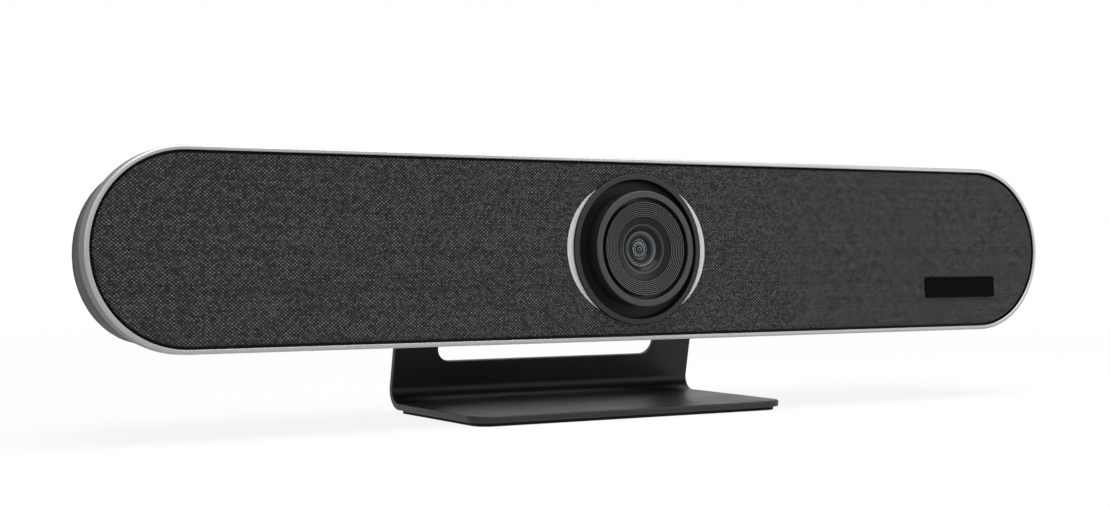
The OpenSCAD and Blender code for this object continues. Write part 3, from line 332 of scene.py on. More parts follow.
# Edges painted paler, broken up by a cloud: rubbed wear, and on the hood and cup also a painted highlight on
# their edges
def makeEdgeWearAndHighlightGroup():
    group, given, made = newGroup("edgeWear", {"Cloud": "Float", "Amount": "Float"}, {"Mask": "Float"})
    edge = remap(group, addNode(group, "ShaderNodeNewGeometry").outputs["Pointiness"], 0.51, 0.56)
    patch = remap(group, given["Cloud"], 0.35, 0.65, 0.3, 1.0)
    feed(group, made["Mask"], times(group, edge, patch, given["Amount"]))
    return group


# Dust that settles where a face looks up
def makeDustGroup():
    group, given, made = newGroup("settledDust", {"Cloud": "Float", "Amount": "Float"}, {"Mask": "Float"})
    facing = partsOf(group, addNode(group, "ShaderNodeNewGeometry").outputs["Normal"])
    up = remap(group, facing["Z"], 0.5, 1.0)
    feed(group, made["Mask"], times(group, up, given["Cloud"], given["Amount"]))
    return group


# Plain weave of two yarns, one pale and one dark, each crossing with its own shade, and painted shade in the
# crevices where the yarns round off
weaveShades = {
    "under": 0.3, "over": 1.35, "thread": (0.82, 1.12), "creviceShade": 0.25, "sunk": 0.6, "roundness": 3.0,
}


def makeWeaveGroup():
    shades = weaveShades
    sockets = {"Place": "Vector", "Yarn Width": "Float", "Yarn Height": "Float", "Melange": "Float"}
    group, given, made = newGroup("yarnWeave", sockets, {"Shade": "Float", "Height": "Float"})
    place = partsOf(group, given["Place"])
    across = calc(group, "DIVIDE", place["X"], given["Yarn Width"])
    up = calc(group, "DIVIDE", place["Z"], given["Yarn Height"])
    column, row = calc(group, "FLOOR", across), calc(group, "FLOOR", up)
    over = calc(group, "FLOORED_MODULO", calc(group, "ADD", column, row), 2.0)
    crossing = {"Vector": vectorOf(group, column, row)}
    spot = addNode(group, "ShaderNodeTexWhiteNoise", crossing, noise_dimensions="2D").outputs["Value"]
    thread = addNode(group, "ShaderNodeTexWhiteNoise", {"W": row}, noise_dimensions="1D").outputs["Value"]
    domes = []
    for distance in (across, up):
        side = calc(group, "SUBTRACT", times(group, calc(group, "FRACT", distance), 2.0), 1.0)
        fall = calc(group, "POWER", calc(group, "ABSOLUTE", side), shades["roundness"])
        domes.append(calc(group, "SUBTRACT", 1.0, fall))
    dome = times(group, *domes)
    chance = calc(group, "MULTIPLY_ADD", calc(group, "SUBTRACT", spot, 0.5), given["Melange"], 0.5)
    streak = remap(group, thread, 0.0, 1.0, *shades["thread"])
    pale = times(group, chance, streak, remap(group, over, 0.0, 1.0, shades["under"], shades["over"]))
    # The crevice factor is painted shade where the yarns round off
    feed(group, made["Shade"], times(group, pale, remap(group, dome, 0.0, 1.0, shades["creviceShade"], 1.0)))
    feed(group, made["Height"], times(group, dome, remap(group, over, 0.0, 1.0, shades["sunk"], 1.0)))
    return group


grainGroup, wearGroup = makeGrainGroup(), makeEdgeWearAndHighlightGroup()
dustGroup, weaveGroup = makeDustGroup(), makeWeaveGroup()


def newMaterial(slot):
    material = bpy.data.materials.new(slot + "Finish")
    material.use_nodes = True
    tree = material.node_tree
    place = addNode(tree, "ShaderNodeTexCoord").outputs["Object"]
    return material, tree, tree.nodes["Principled BSDF"], place


def newFinish(slot, fineness, blotches):  # a material with its grain
    material, tree, shader, place = newMaterial(slot)
    grain = useGroup(tree, grainGroup, Place=place, Fineness=fineness, Blotches=blotches)
    return material, tree, shader, place, grain


def addBump(tree, shader, height, strength, distance):
    bump = addNode(tree, "ShaderNodeBump", {"Height": height, "Strength": strength, "Distance": distance})
    feed(tree, shader.inputs["Normal"], bump.outputs[0])


def clouded(tree, grain, low, high):  # a value that drifts with the grain's cloud
    return remap(tree, grain["Cloud"], 0.3, 0.7, low, high)


def barPlace(tree, place):  # Object coordinates turned into the bar's own, in metres
    inputs = {"Vector": place, "Location": barCentre, "Rotation": (-barLean, 0, 0)}
    return addNode(tree, "ShaderNodeMapping", inputs, vector_type="TEXTURE").outputs[0]


def barDepth(tree, place):
    return partsOf(tree, barPlace(tree, place))["Y"]


def lensRadius(tree, place):  # distance from the lens's axis, in metres
    parts = partsOf(tree, barPlace(tree, place))
    square = times(tree, parts["X"], parts["X"])
    return calc(tree, "SQRT", calc(tree, "MULTIPLY_ADD", parts["Z"], parts["Z"], square))


# Every band this mask draws is painted light: lit faces, highlights and reflections
def bandMask(tree, value, bands, edge=0.15):  # bands of low, high and strength, in millimetres
    mask = None
    for low, high, strength in bands:
        rise = remap(tree, value, (low - edge) * mm, low * mm, 0.0, strength)
        band = times(tree, rise, remap(tree, value, high * mm, (high + edge) * mm, 1.0, 0.0))
        mask = calc(tree, "MAXIMUM", mask, band) if mask else band
    return mask


# Painted highlight on the ribs' crests
def crestHighlightMask(tree, radius, inner, outer, count):  # crests of the ribs between two radii, in millimetres
    turned = times(tree, calc(tree, "SUBTRACT", outer * mm, radius), count / ((outer - inner) * mm))
    phase = calc(tree, "FRACT", turned)
    return times(
        tree, remap(tree, phase, 0.02, 0.2), remap(tree, phase, 0.4, 0.58, 1.0, 0.0),
        remap(tree, radius, inner * mm, (inner + 0.2) * mm),
        remap(tree, radius, (outer - 0.1) * mm, outer * mm, 1.0, 0.0),
    )


# What a solid finish has unless its own look says otherwise
plainLook = dict(
    spread=0.05, blotches=35.0, mottle=0.12, speck=0.1, wear=0.1, dust=0.04,
    metal=0.0, gloss=0.5, coat=0.0, coatRough=0.2, relief=0.00004,
)
dustColour = (0.32, 0.31, 0.3)


def solidFinish(slot, ownLook):
    look = {**plainLook, **ownLook}
    material, tree, shader, place, grain = newFinish(slot, look["fineness"], look["blotches"])
    deep = [channel * (1 - look["mottle"]) for channel in look["colour"]]
    # The paler edge colour stands for rubbed wear, and on the hood and cup for a painted highlight too
    wornAndLitEdge = [min(1.0, channel * 1.6 + 0.03) for channel in look["colour"]]
    wear = useGroup(tree, wearGroup, Cloud=grain["Cloud"], Amount=look["wear"])["Mask"]
    dust = useGroup(tree, dustGroup, Cloud=grain["Cloud"], Amount=look["dust"])["Mask"]
    specks = remap(tree, grain["Grain"], 0.35, 0.65, 0.0, look["speck"])
    colour = mixColours(tree, grain["Cloud"], deep, look["colour"])
    colour = mixColours(tree, specks, colour, look.get("fleck", look["colour"]))
    # Painted light and shade: the rim colour paints lit faces and highlights between two depths or radii, and
    # what lies outside stays darker
    for label, measure in (("bands", barDepth), ("rings", lensRadius)):  # paler between two depths or radii
        if label in look:
            colour = mixColours(tree, bandMask(tree, measure(tree, place), look[label]), colour, look["rim"])
    # Painted highlight: the ribs' crests are painted paler
    if "stripes" in look:  # paler crests on the ribs
        paintedCrestHighlight = crestHighlightMask(tree, lensRadius(tree, place), *look["stripes"])
        colour = mixColours(tree, paintedCrestHighlight, colour, look["stripe"])
    colour = mixColours(tree, wear, colour, wornAndLitEdge)
    rough = clouded(tree, grain, look["rough"] - look["spread"], look["rough"] + look["spread"])
    feedAll(tree, shader, {
        "Base Color": mixColours(tree, dust, colour, dustColour),
        "Roughness": calc(tree, "ADD", rough, times(tree, dust, 0.5)),
        "Metallic": look["metal"], "Specular IOR Level": look["gloss"],
        "Coat Weight": look["coat"], "Coat Roughness": look["coatRough"],
    })
    addBump(tree, shader, grain["Grain"], look["bump"], look["relief"])
    return material


def solid(colour, rough, fineness, bump, **more):
    return dict(colour=colour, rough=rough, fineness=fineness, bump=bump, **more)


# Each slot's colour, roughness, grain per metre and bump, then what differs from the plain look
solidLooks = {
    "stand_coat": solid(
        (0.0085, 0.009, 0.0095), 0.4, 2600.0, 0.3, fleck=(0.02, 0.021, 0.022), speck=0.35, wear=0.12,
        gloss=0.32, dust=0.02,
    ),
    "pad_rubber": solid((0.008, 0.008, 0.009), 0.85, 1800.0, 0.4, gloss=0.2),
    "hinge_steel": solid((0.03, 0.03, 0.033), 0.38, 3000.0, 0.2, spread=0.06, metal=0.6, wear=0.5),
    "dark_screws": solid((0.06, 0.06, 0.064), 0.3, 4000.0, 0.15, spread=0.06, metal=1.0, wear=0.5),
    "plain_screws": solid((0.5, 0.5, 0.51), 0.28, 4000.0, 0.15, spread=0.06, metal=1.0, wear=0.3),
    "housing_plastic": solid(
        (0.026, 0.027, 0.029), 0.55, 3200.0, 0.3, fleck=(0.045, 0.047, 0.05), speck=0.3, wear=0.08,
        gloss=0.06, dust=0.02,
    ),
    "panel_plastic": solid((0.006, 0.006, 0.0065), 0.6, 2600.0, 0.3, gloss=0.15),
    # Cup: the rim face is painted paler as painted light, leaving the bowl darker as painted shade; its
    # raised edge amount also paints highlights on its edges
    "cup_black": solid(
        (0.006, 0.006, 0.0065), 0.45, 3600.0, 0.2, fleck=(0.012, 0.012, 0.013), speck=0.25, wear=0.2,
        gloss=0.12, dust=0.01, rim=(0.03, 0.032, 0.033), bands=((-3.0, -0.75, 1.0),),
    ),
    # Hood: the front ring is painted paler as painted light and the collar's step as a painted highlight; its
    # large edge amount paints highlights on its edges too
    "hood_black": solid(
        (0.01, 0.0105, 0.011), 0.4, 5200.0, 0.14, fleck=(0.02, 0.021, 0.022), speck=0.25, spread=0.04,
        wear=0.7, gloss=0.25, dust=0.01, rim=(0.038, 0.04, 0.042),
        bands=((-9.0, -7.55, 1.0), (-4.75, -4.4, 1.0)),
    ),
    # Barrel and trim: the pale rings round the glass are painted highlights, and the paler rib crests are a
    # painted highlight
    "barrel_black": solid(
        (0.006, 0.0064, 0.0067), 0.3, 5200.0, 0.1, spread=0.04, wear=0.2, gloss=0.14, dust=0.005,
        rim=(0.13, 0.138, 0.143), rings=((7.7, 8.1, 0.5), (8.6, 9.3, 1.0), (12.2, 13.3, 0.35)),
        stripes=(16.8, 24.95, 8), stripe=(0.088, 0.092, 0.095),
    ),
    "plate_black": solid(
        (0.0015, 0.0015, 0.0017), 0.26, 1500.0, 0.05, spread=0.03, mottle=0.2, gloss=0.02, wear=0.03,
        dust=0.001,
    ),
    "board_green": solid(
        (0.012, 0.085, 0.035), 0.32, 900.0, 0.1, fleck=(0.02, 0.13, 0.05), speck=0.4, spread=0.06, coat=0.3,
    ),
    "lamp_cream": solid((0.8, 0.74, 0.5), 0.3, 2500.0, 0.1),
    "chip_black": solid((0.02, 0.02, 0.021), 0.5, 5200.0, 0.25, fleck=(0.05, 0.05, 0.052), speck=0.3),
    "sensor_blue": solid((0.02, 0.03, 0.09), 0.12, 1500.0, 0.03, spread=0.03, coat=0.6),
    "sheet_steel": solid((0.42, 0.43, 0.44), 0.34, 1600.0, 0.12, spread=0.08, metal=1.0, wear=0.3),
    "ribbon_amber": solid((0.4, 0.16, 0.03), 0.3, 1200.0, 0.08, fleck=(0.5, 0.24, 0.05), speck=0.3, coat=0.4),
    "basket_steel": solid((0.025, 0.025, 0.027), 0.42, 2600.0, 0.2, metal=0.4, wear=0.3),
    "magnet_grey": solid(
        (0.12, 0.12, 0.125), 0.5, 2200.0, 0.35, fleck=(0.2, 0.2, 0.205), speck=0.35, spread=0.08, metal=0.7,
    ),
    "cone_grey": solid(
        (0.035, 0.036, 0.038), 0.6, 1500.0, 0.35, fleck=(0.06, 0.06, 0.062), speck=0.4, spread=0.06,
    ),
    "lead_red": solid((0.3, 0.02, 0.015), 0.5, 2200.0, 0.12),
    "contact_gold": solid((0.75, 0.52, 0.2), 0.25, 4000.0, 0.08, metal=1.0, wear=0.2),
    "gap_pad": solid((0.2, 0.28, 0.36), 0.7, 2000.0, 0.3),
    "sink_metal": solid((0.5, 0.51, 0.52), 0.36, 1500.0, 0.15, spread=0.06, metal=1.0, wear=0.3),
    "port_black": solid(
        (0.014, 0.014, 0.015), 0.52, 3000.0, 0.3, fleck=(0.028, 0.028, 0.03), speck=0.3, wear=0.12, gloss=0.3,
    ),
    "socket_shell": solid((0.48, 0.49, 0.5), 0.25, 3000.0, 0.1, spread=0.06, metal=1.0, wear=0.3),
    "socket_black": solid((0.012, 0.012, 0.013), 0.35, 3500.0, 0.12, wear=0.15),
    "button_grey": solid((0.07, 0.072, 0.076), 0.35, 3500.0, 0.12, wear=0.35),
    "switch_metal": solid((0.38, 0.39, 0.4), 0.3, 3000.0, 0.1, spread=0.06, metal=1.0, wear=0.2),
}

# Blasted metal; the side band is painted darker than the rim as painted shade, and the inside of the rim is
# painted black as painted shade; lengths in millimetres
frameLook = {
    "bright": (0.37, 0.376, 0.38), "side": (0.085, 0.088, 0.09), "inside": (0.004, 0.004, 0.004),
    "stain": (0.25, 0.255, 0.26), "rimDepth": 0.9, "rimFade": 0.4, "rebateShadeFrom": (1.4, 1.2),
    "rebateShadeDepth": (0.4, 0.7), "rough": 0.36, "metal": 0.6, "fineness": 6000.0, "blotches": 24.0,
}


def frameFinish():
    look = frameLook
    material, tree, shader, place, grain = newFinish("frame_metal", look["fineness"], look["blotches"])
    inBar = partsOf(tree, barPlace(tree, place))
    # Painted shade: side darkens the side band, and inside blackens the rebate within the rim
    side = remap(tree, inBar["Y"], look["rimDepth"] * mm, (look["rimDepth"] + look["rimFade"]) * mm)
    beyond = calc(tree, "SUBTRACT", calc(tree, "ABSOLUTE", inBar["X"]), halfRun * mm)
    beyond = calc(tree, "MAXIMUM", beyond, 0.0)
    square = calc(tree, "MULTIPLY_ADD", inBar["Z"], inBar["Z"], times(tree, beyond, beyond))
    reach = [(outerR - inset) * mm for inset in look["rebateShadeFrom"]]
    rebateShadeWithin = remap(tree, calc(tree, "SQRT", square), *reach, 1.0, 0.0)
    inside = times(tree, rebateShadeWithin, remap(tree, inBar["Y"], *[depth * mm for depth in look["rebateShadeDepth"]]))
    colour = mixColours(tree, side, look["bright"], look["side"])
    colour = mixColours(tree, clouded(tree, grain, 0.0, 0.2), colour, look["stain"])
    rough = clouded(tree, grain, look["rough"] - 0.03, look["rough"] + 0.05)
    feedAll(tree, shader, {
        "Base Color": mixColours(tree, inside, colour, look["inside"]), "Metallic": look["metal"],
        "Roughness": calc(tree, "ADD", rough, times(tree, side, 0.08)),
    })
    addBump(tree, shader, grain["Grain"], 0.05, 0.00001)
    return material


# Cloth: its two colours and the size of a yarn, in millimetres
clothLook = {
    "dark": (0.004, 0.0042, 0.0044), "pale": (0.128, 0.131, 0.133), "yarnWidth": 1.04, "yarnHeight": 0.86,
    "melange": 0.6, "ripple": 0.2, "slubs": (0.55, 1.4), "relief": 0.18,
}


def clothFinish():
    look = clothLook
    material, tree, shader, place, grain = newFinish("grille_cloth", 900.0, 60.0)
    waves = {"Vector": place, "Scale": 220.0, "Detail": 1.0}  # threads never run quite straight
    ripple = addNode(tree, "ShaderNodeTexNoise", waves, noise_dimensions="3D")
    shifted = {0: ripple.outputs["Color"], 1: [look["ripple"] * mm] * 3, 2: barPlace(tree, place)}
    shift = addNode(tree, "ShaderNodeVectorMath", shifted, operation="MULTIPLY_ADD")
    weave = useGroup(
        tree, weaveGroup, Place=shift.outputs[0], Yarn_Width=look["yarnWidth"] * mm,
        Yarn_Height=look["yarnHeight"] * mm, Melange=look["melange"],
    )
    tone = times(tree, weave["Shade"], remap(tree, grain["Grain"], 0.3, 0.7, *look["slubs"]))
    feedAll(tree, shader, {
        "Base Color": mixColours(tree, tone, look["dark"], look["pale"]),
        "Roughness": clouded(tree, grain, 0.82, 0.94), "Specular IOR Level": 0.08,
        "Sheen Weight": 0.03, "Sheen Roughness": 0.5,
    })
    addBump(tree, shader, weave["Height"], 0.6, look["relief"] * mm)
    return material


# Milky light guides
lightLook = {"deep": (0.46, 0.47, 0.47), "pale": (0.54, 0.55, 0.55)}


def lightFinish():
    material, tree, shader, place, grain = newFinish("light_white", 2500.0, 60.0)
    feedAll(tree, shader, {
        "Base Color": mixColours(tree, grain["Cloud"], lightLook["deep"], lightLook["pale"]),
        "Roughness": clouded(tree, grain, 0.28, 0.36),
        "Subsurface Weight": 0.3, "Subsurface Radius": (0.002, 0.002, 0.002),
    })
    addBump(tree, shader, grain["Grain"], 0.06, 0.00002)
    return material


# Coated infrared filter
filterLook = {"red": (0.75, 0.3, 0.36), "violet": (0.6, 0.4, 0.6), "coat": (0.75, 0.9, 1.0, 1)}


def filterFinish():
    material, tree, shader, place, grain = newFinish("filter_glass", 1200.0, 180.0)
    feedAll(tree, shader, {
        "Base Color": mixColours(tree, grain["Cloud"], filterLook["red"], filterLook["violet"]),
        "Roughness": clouded(tree, grain, 0.01, 0.04), "Transmission Weight": 1.0, "IOR": 1.6,
        "Coat Weight": 0.6, "Coat Roughness": 0.03, "Coat Tint": filterLook["coat"],
    })
    return material


# Front glass: its pale rings are painted reflections, each with an inner and outer radius and a strength
frontGlassLook = {
    "dark": (0.002, 0.0025, 0.003), "paintedReflection": (0.36, 0.44, 0.46), "through": 0.1, "gloss": 0.12,
    "rings": ((0.8, 1.2, 0.35), (2.5, 2.9, 0.4), (3.6, 3.9, 0.8), (4.9, 5.5, 1.0)),
}


def frontGlassFinish():
    look = frontGlassLook
    material, tree, shader, place, grain = newFinish("lens_glass", 1200.0, 180.0)
    # Painted reflection: pale rings laid on the dark glass by radius
    paintedReflection = bandMask(tree, lensRadius(tree, place), look["rings"])
    feedAll(tree, shader, {
        "Base Color": mixColours(tree, paintedReflection, look["dark"], look["paintedReflection"]),
        "Roughness": clouded(tree, grain, 0.02, 0.05), "IOR": 1.5,
        "Transmission Weight": look["through"], "Specular IOR Level": look["gloss"],
    })
    return material


finishes = {slot: solidFinish(slot, look) for slot, look in solidLooks.items()}
finishes["frame_metal"] = frameFinish()
finishes["grille_cloth"] = clothFinish()
finishes["light_white"] = lightFinish()
finishes["lens_glass"] = frontGlassFinish()
finishes["filter_glass"] = filterFinish()
for name, node in nodes.items():
    node.data.materials[0] = finishes[slots[name]]
print("finishes made:", len(finishes))


# Geometry node tools

def newTree(name, inputs):
    tree = bpy.data.node_groups.new(name, "GeometryNodeTree")
    addSockets(tree, "INPUT", {"Geometry": "Geometry", **inputs, "Finish": "Material"})
    addSockets(tree, "OUTPUT", {"Geometry": "Geometry"})
    return tree, tree.nodes.new("NodeGroupInput").outputs


def closeTree(tree, given, grown):
    real = addNode(tree, "GeometryNodeRealizeInstances", {0: grown})
    inputs = {"Geometry": real.outputs[0], "Material": given["Finish"]}
    addNode(tree, "NodeGroupOutput", {0: addNode(tree, "GeometryNodeSetMaterial", inputs).outputs[0]})
    return tree


def growMesh(tree, places, slot, **sizes):  # runs a tree on the given points and returns the plain mesh
    start = bpy.data.meshes.new(tree.name)
    start.from_pydata([tuple(place) for place in places], [], [])
    carrier = addObject(tree.name, start)
    grower = carrier.modifiers.new("grower", "NODES")
    grower.node_group = tree
    sockets = {item.name: item.identifier for item in tree.interface.items_tree if item.in_out == "INPUT"}
    grower[sockets["Finish"]] = finishes[slot]
    for label, value in sizes.items():
        grower[sockets[label.replace("_", " ")]] = value
    grown = bpy.data.meshes.new_from_object(carrier.evaluated_get(bpy.context.evaluated_depsgraph_get()))
    carrier.modifiers.clear()
    bpy.data.objects.remove(carrier)
    return grown


def moved(tree, geometry, up):
    inputs = {"Geometry": geometry, "Translation": vectorOf(tree, z=up)}
    return addNode(tree, "GeometryNodeTransform", inputs).outputs[0]


def placed(tree, points, instance, **more):
    inputs = {"Points": points, "Instance": instance, **more}
    return addNode(tree, "GeometryNodeInstanceOnPoints", inputs).outputs[0]


# Screws: a tapered head with a hex socket and a shank, at every point
def screwTree():
    floats = (
        "Head Radius", "Head Height", "Taper", "Socket Radius", "Socket Depth",
        "Shank Radius", "Shank Length",
    )
    tree, given = newTree("screwSet", {**dict.fromkeys(floats, "Float"), "Turn": "Vector"})
    head = addNode(tree, "GeometryNodeMeshCone", {
        "Vertices": 40, "Radius Top": times(tree, given["Head Radius"], given["Taper"]),
        "Radius Bottom": given["Head Radius"], "Depth": given["Head Height"],
    })
    socket = addNode(tree, "GeometryNodeMeshCylinder", {
        "Vertices": 6, "Radius": given["Socket Radius"], "Depth": times(tree, given["Socket Depth"], 2.0),
    })
    cut = addNode(tree, "GeometryNodeMeshBoolean", {
        "Mesh 1": head.outputs["Mesh"], "Mesh 2": moved(tree, socket.outputs["Mesh"], given["Head Height"]),
    }, operation="DIFFERENCE")
    shank = addNode(tree, "GeometryNodeMeshCylinder", {
        "Vertices": 20, "Radius": given["Shank Radius"], "Depth": given["Shank Length"],
    })
    both = addNode(tree, "GeometryNodeJoinGeometry", {0: cut.outputs["Mesh"]})
    feed(tree, both.inputs[0], moved(tree, shank.outputs["Mesh"], times(tree, given["Shank Length"], -0.5)))
    return closeTree(tree, given, placed(tree, given["Geometry"], both.outputs[0], Rotation=given["Turn"]))


# Ribbed funnel: a sheet of rings whose depth steps with the radius
def ribTree():
    floats = ("Outer Radius", "Inner Radius", "Front Depth", "Slope", "Rib Depth")
    whole = ("Ribs", "Steps", "Segments")
    tree, given = newTree("ribbedRing", {**dict.fromkeys(floats, "Float"), **dict.fromkeys(whole, "Int")})
    sheet = addNode(tree, "GeometryNodeMeshGrid", {
        "Vertices X": calc(tree, "ADD", given["Segments"], 1.0),
        "Vertices Y": calc(tree, "MULTIPLY_ADD", given["Ribs"], given["Steps"], 1.0),
    })
    here = partsOf(tree, addNode(tree, "GeometryNodeInputPosition").outputs[0])
    turn = times(tree, calc(tree, "ADD", here[0], 0.5), 2 * math.pi)
    share = calc(tree, "ADD", here[1], 0.5)
    inward = times(tree, calc(tree, "SUBTRACT", given["Outer Radius"], given["Inner Radius"]), share)
    radius = calc(tree, "SUBTRACT", given["Outer Radius"], inward)
    phase = calc(tree, "FRACT", times(tree, share, given["Ribs"]))
    edges = []
    for low, high in ((0.5, 0.66), (0.84, 0.98)):  # shares of the pitch where a groove starts and ends
        inputs = {0: phase, 1: low, 2: high}
        edges.append(addNode(tree, "ShaderNodeMapRange", inputs, interpolation_type="SMOOTHSTEP").outputs[0])
    groove = times(tree, calc(tree, "SUBTRACT", *edges), given["Rib Depth"])
    slope = calc(tree, "ADD", given["Front Depth"], times(tree, inward, given["Slope"]))
    across, up = [times(tree, radius, calc(tree, operation, turn)) for operation in ("COSINE", "SINE")]
    place = vectorOf(tree, across, calc(tree, "ADD", slope, groove), up)
    rings = addNode(tree, "GeometryNodeSetPosition", {"Geometry": sheet.outputs["Mesh"], "Position": place})
    merge = addNode(tree, "GeometryNodeMergeByDistance", {"Geometry": rings.outputs[0], "Distance": 0.001})
    return closeTree(tree, given, merge.outputs[0])


# Contact blades in a row, centred on each point
def bladeTree():
    tree, given = newTree("contactRow", {"Blades": "Int", "Pitch": "Float", "Size": "Vector"})
    blade = addNode(tree, "GeometryNodeMeshCube", {"Size": given["Size"]})
    half = times(tree, calc(tree, "SUBTRACT", given["Blades"], 1.0), -0.5)
    row = addNode(tree, "GeometryNodeMeshLine", {
        "Count": given["Blades"], "Start Location": vectorOf(tree, times(tree, half, given["Pitch"])),
        "Offset": vectorOf(tree, given["Pitch"]),
    }, mode="OFFSET")
    blades = placed(tree, row.outputs[0], blade.outputs["Mesh"])
    return closeTree(tree, given, placed(tree, given["Geometry"], blades))


def solidBoxes(node, frameMatrix):  # the box of each separate solid in a node, in millimetres
    bm = bmesh.new()
    bm.from_mesh(nodes[node].data)
    bmesh.ops.transform(bm, matrix=frameMatrix.inverted(), verts=bm.verts)
    bmesh.ops.remove_doubles(bm, verts=bm.verts, dist=1e-3)
    left, boxes = set(bm.verts), []
    while left:
        found = [left.pop()]
        for vertex in found:
            for edge in vertex.link_edges:
                other = edge.other_vert(vertex)
                if other in left:
                    left.remove(other)
                    found.append(other)
        boxes.append(cornersOf([vertex.co for vertex in found]))
    bm.free()
    return sorted(boxes, key=lambda box: (round(box[0].x, 2), round(box[0].z, 2)))


# Front frame: one section swept round the bar, and a tube round each of the housing's screws
frameSizes = {
    "rim": 2.0, "lip": 0.3, "lipDepth": 0.35, "bevel": 0.9, "band": 9.5, "seat": 5.0, "ledge": 2.5,
    "ledgeWidth": 6.0, "boreInset": 1.0, "postWall": 2.4, "segments": 96, "postSegments": 24,
}


def makeFrontFrame():
    sizes = frameSizes
    seat, band, innerR = sizes["seat"], sizes["band"], outerR - sizes["rim"]
    lipR, ledgeR, ledgeBack = innerR - sizes["lip"], innerR - sizes["ledgeWidth"], seat + sizes["ledge"]
    bm = bmesh.new()
    sweep(bm, roundedOutline([
        (lipR, sizes["lipDepth"], 0.15), (innerR, 0, 0.2), (outerR - sizes["bevel"], 0, 0.5),
        (outerR, sizes["bevel"] * 0.6, 0.4), (outerR, band, 0.3), (innerR, band, 0.2), (innerR, ledgeBack, 0),
        (ledgeR, ledgeBack, 0.3), (ledgeR, seat, 0.3), (lipR, seat, 0),
    ]), pillStations(sizes["segments"]))
    for low, high in solidBoxes("housing_screws", barFrame):
        middle, bore = (low + high) / 2, (high.x - low.x) / 2 - sizes["boreInset"]
        wall = bore + sizes["postWall"]
        sweep(bm, roundedOutline([
            (bore, ledgeBack, 0), (wall, ledgeBack, 0), (wall, frameHigh.y, 0.3), (bore, frameHigh.y, 0.2),
        ]), roundStations(sizes["postSegments"], middle.x, middle.z))
    finishPiece("frameRing", bm, "front_frame")


# Grille cloth: wrapped round its panel, cut out for the cup and the lights
clothSizes = {
    "thickness": 0.9, "round": 0.8, "drawnIn": 1.0, "crescentR": 36.3, "crescentShift": 8.3, "cupGap": 0.2,
    "segments": 96, "roundSteps": 8, "holePoints": 240,
}
cupR, cupFront, cupBack = turnedSize("lens_cup")


def cameraHole():  # the union of the cup's circle and the two crescents'
    crescentR, side, outline = clothSizes["crescentR"], clothSizes["crescentShift"], []
    circles = ((cupR + clothSizes["cupGap"], 0), (crescentR, side), (crescentR, -side))
    for index in range(clothSizes["holePoints"]):
        turn = 2 * math.pi * index / clothSizes["holePoints"]
        outline.append(polar(max(
            shift * math.cos(turn) + math.sqrt(radius ** 2 - (shift * math.sin(turn)) ** 2)
            for radius, shift in circles
        ), turn))
    return outline


def loopEdges(bm, loop):
    pairs = [(loop[index - 1], loop[index]) for index in range(len(loop))]
    return [bm.edges.get(pair) or bm.edges.new(pair) for pair in pairs]


def makeCloth():
    sizes = clothSizes
    low, high = barBox("grille_fabric")
    clothR, front, back, bend = (high.z - low.z) / 2 - sizes["drawnIn"], low.y, high.y, sizes["round"]
    inner, inside = clothR - sizes["thickness"], front + sizes["thickness"]
    section = [(inner, inside), (inner, back), (clothR, back)]
    for step in range(sizes["roundSteps"] + 1):
        turn = math.pi / 2 * step / sizes["roundSteps"]
        section.append((clothR - bend + bend * math.cos(turn), front + bend - bend * math.sin(turn)))
    bm = bmesh.new()
    rings = sweep(bm, section, pillStations(sizes["segments"]), closed=False)
    hole = cameraHole()
    holeLoops = [addLoop(bm, hole, depth) for depth in (inside, front)]
    skinLoops(bm, holeLoops)
    for level, holeLoop in zip((0, -1), holeLoops):
        edges = loopEdges(bm, [ring[level] for ring in rings]) + loopEdges(bm, holeLoop)
        bmesh.ops.triangle_fill(bm, use_beauty=True, use_dissolve=False, edges=edges)
    cloth = finishPiece("grilleCloth", bm, "grille_fabric", sharp=60)


# Bare nameplate
plateSizes = {"corner": 0.7, "edge": 0.25}


def makeNameplate():
    low, high = barBox("nameplate")
    corners = ((low.x, low.z), (high.x, low.z), (high.x, high.z), (low.x, high.z))
    outline = roundedOutline([(*corner, plateSizes["corner"]) for corner in corners])
    finishPiece("barePlate", plateMesh(outline, low.y, high.y, plateSizes["edge"]), "nameplate")


# Light crescents beside the cup
crescentSizes = {"cupGap": 0.1, "edge": 0.12, "steps": 40}


def makeCrescent(name, node, mirrored=False):
    low, high = barBox(node)
    shift, steps, inner = clothSizes["crescentShift"], crescentSizes["steps"], cupR + crescentSizes["cupGap"]
    outer = max(abs(low.x), abs(high.x)) - shift
    tipX = (inner ** 2 - outer ** 2 + shift ** 2) / (2 * shift)
    tipZ = math.sqrt(inner ** 2 - tipX ** 2)
    wide, narrow = math.atan2(tipZ, tipX - shift), math.atan2(tipZ, tipX)
    outline = [polar(outer, wide * (2 * step / steps - 1), shift) for step in range(steps + 1)]
    outline += [polar(inner, narrow * (1 - 2 * step / steps)) for step in range(1, steps)]
    if mirrored:
        outline = [Vector((-point.x, point.y)) for point in reversed(outline)]
    finishPiece(name, plateMesh(outline, low.y, high.y, crescentSizes["edge"]), node)


# Camera unit: cup, hood, ribbed trim, barrel and front glass
cameraSizes = {
    "cupRim": 3.0, "bowlDepth": 4.5, "cupFloor": 2.0, "cupWall": 2.0, "hoodRing": 3.6, "collar": 3.5,
    "collarStep": 0.7, "shelfR": 20.0, "shelfDepth": 4.0, "shelf": 2.0, "trimBore": 12.6, "trimEdge": 0.3,
    "ribbedTo": 16.8, "ribs": 8, "ribSteps": 14, "ribDepth": 0.8, "ribSlope": 0.12, "lipDepth": 2.8,
    "recessR": 8.6, "recessDepth": 5.6, "seatDepth": 1.9, "barrelBore": 7.4, "glassR": 5.5, "segments": 192,
}
hoodR, hoodFront, hoodBack = turnedSize("lens_hood")


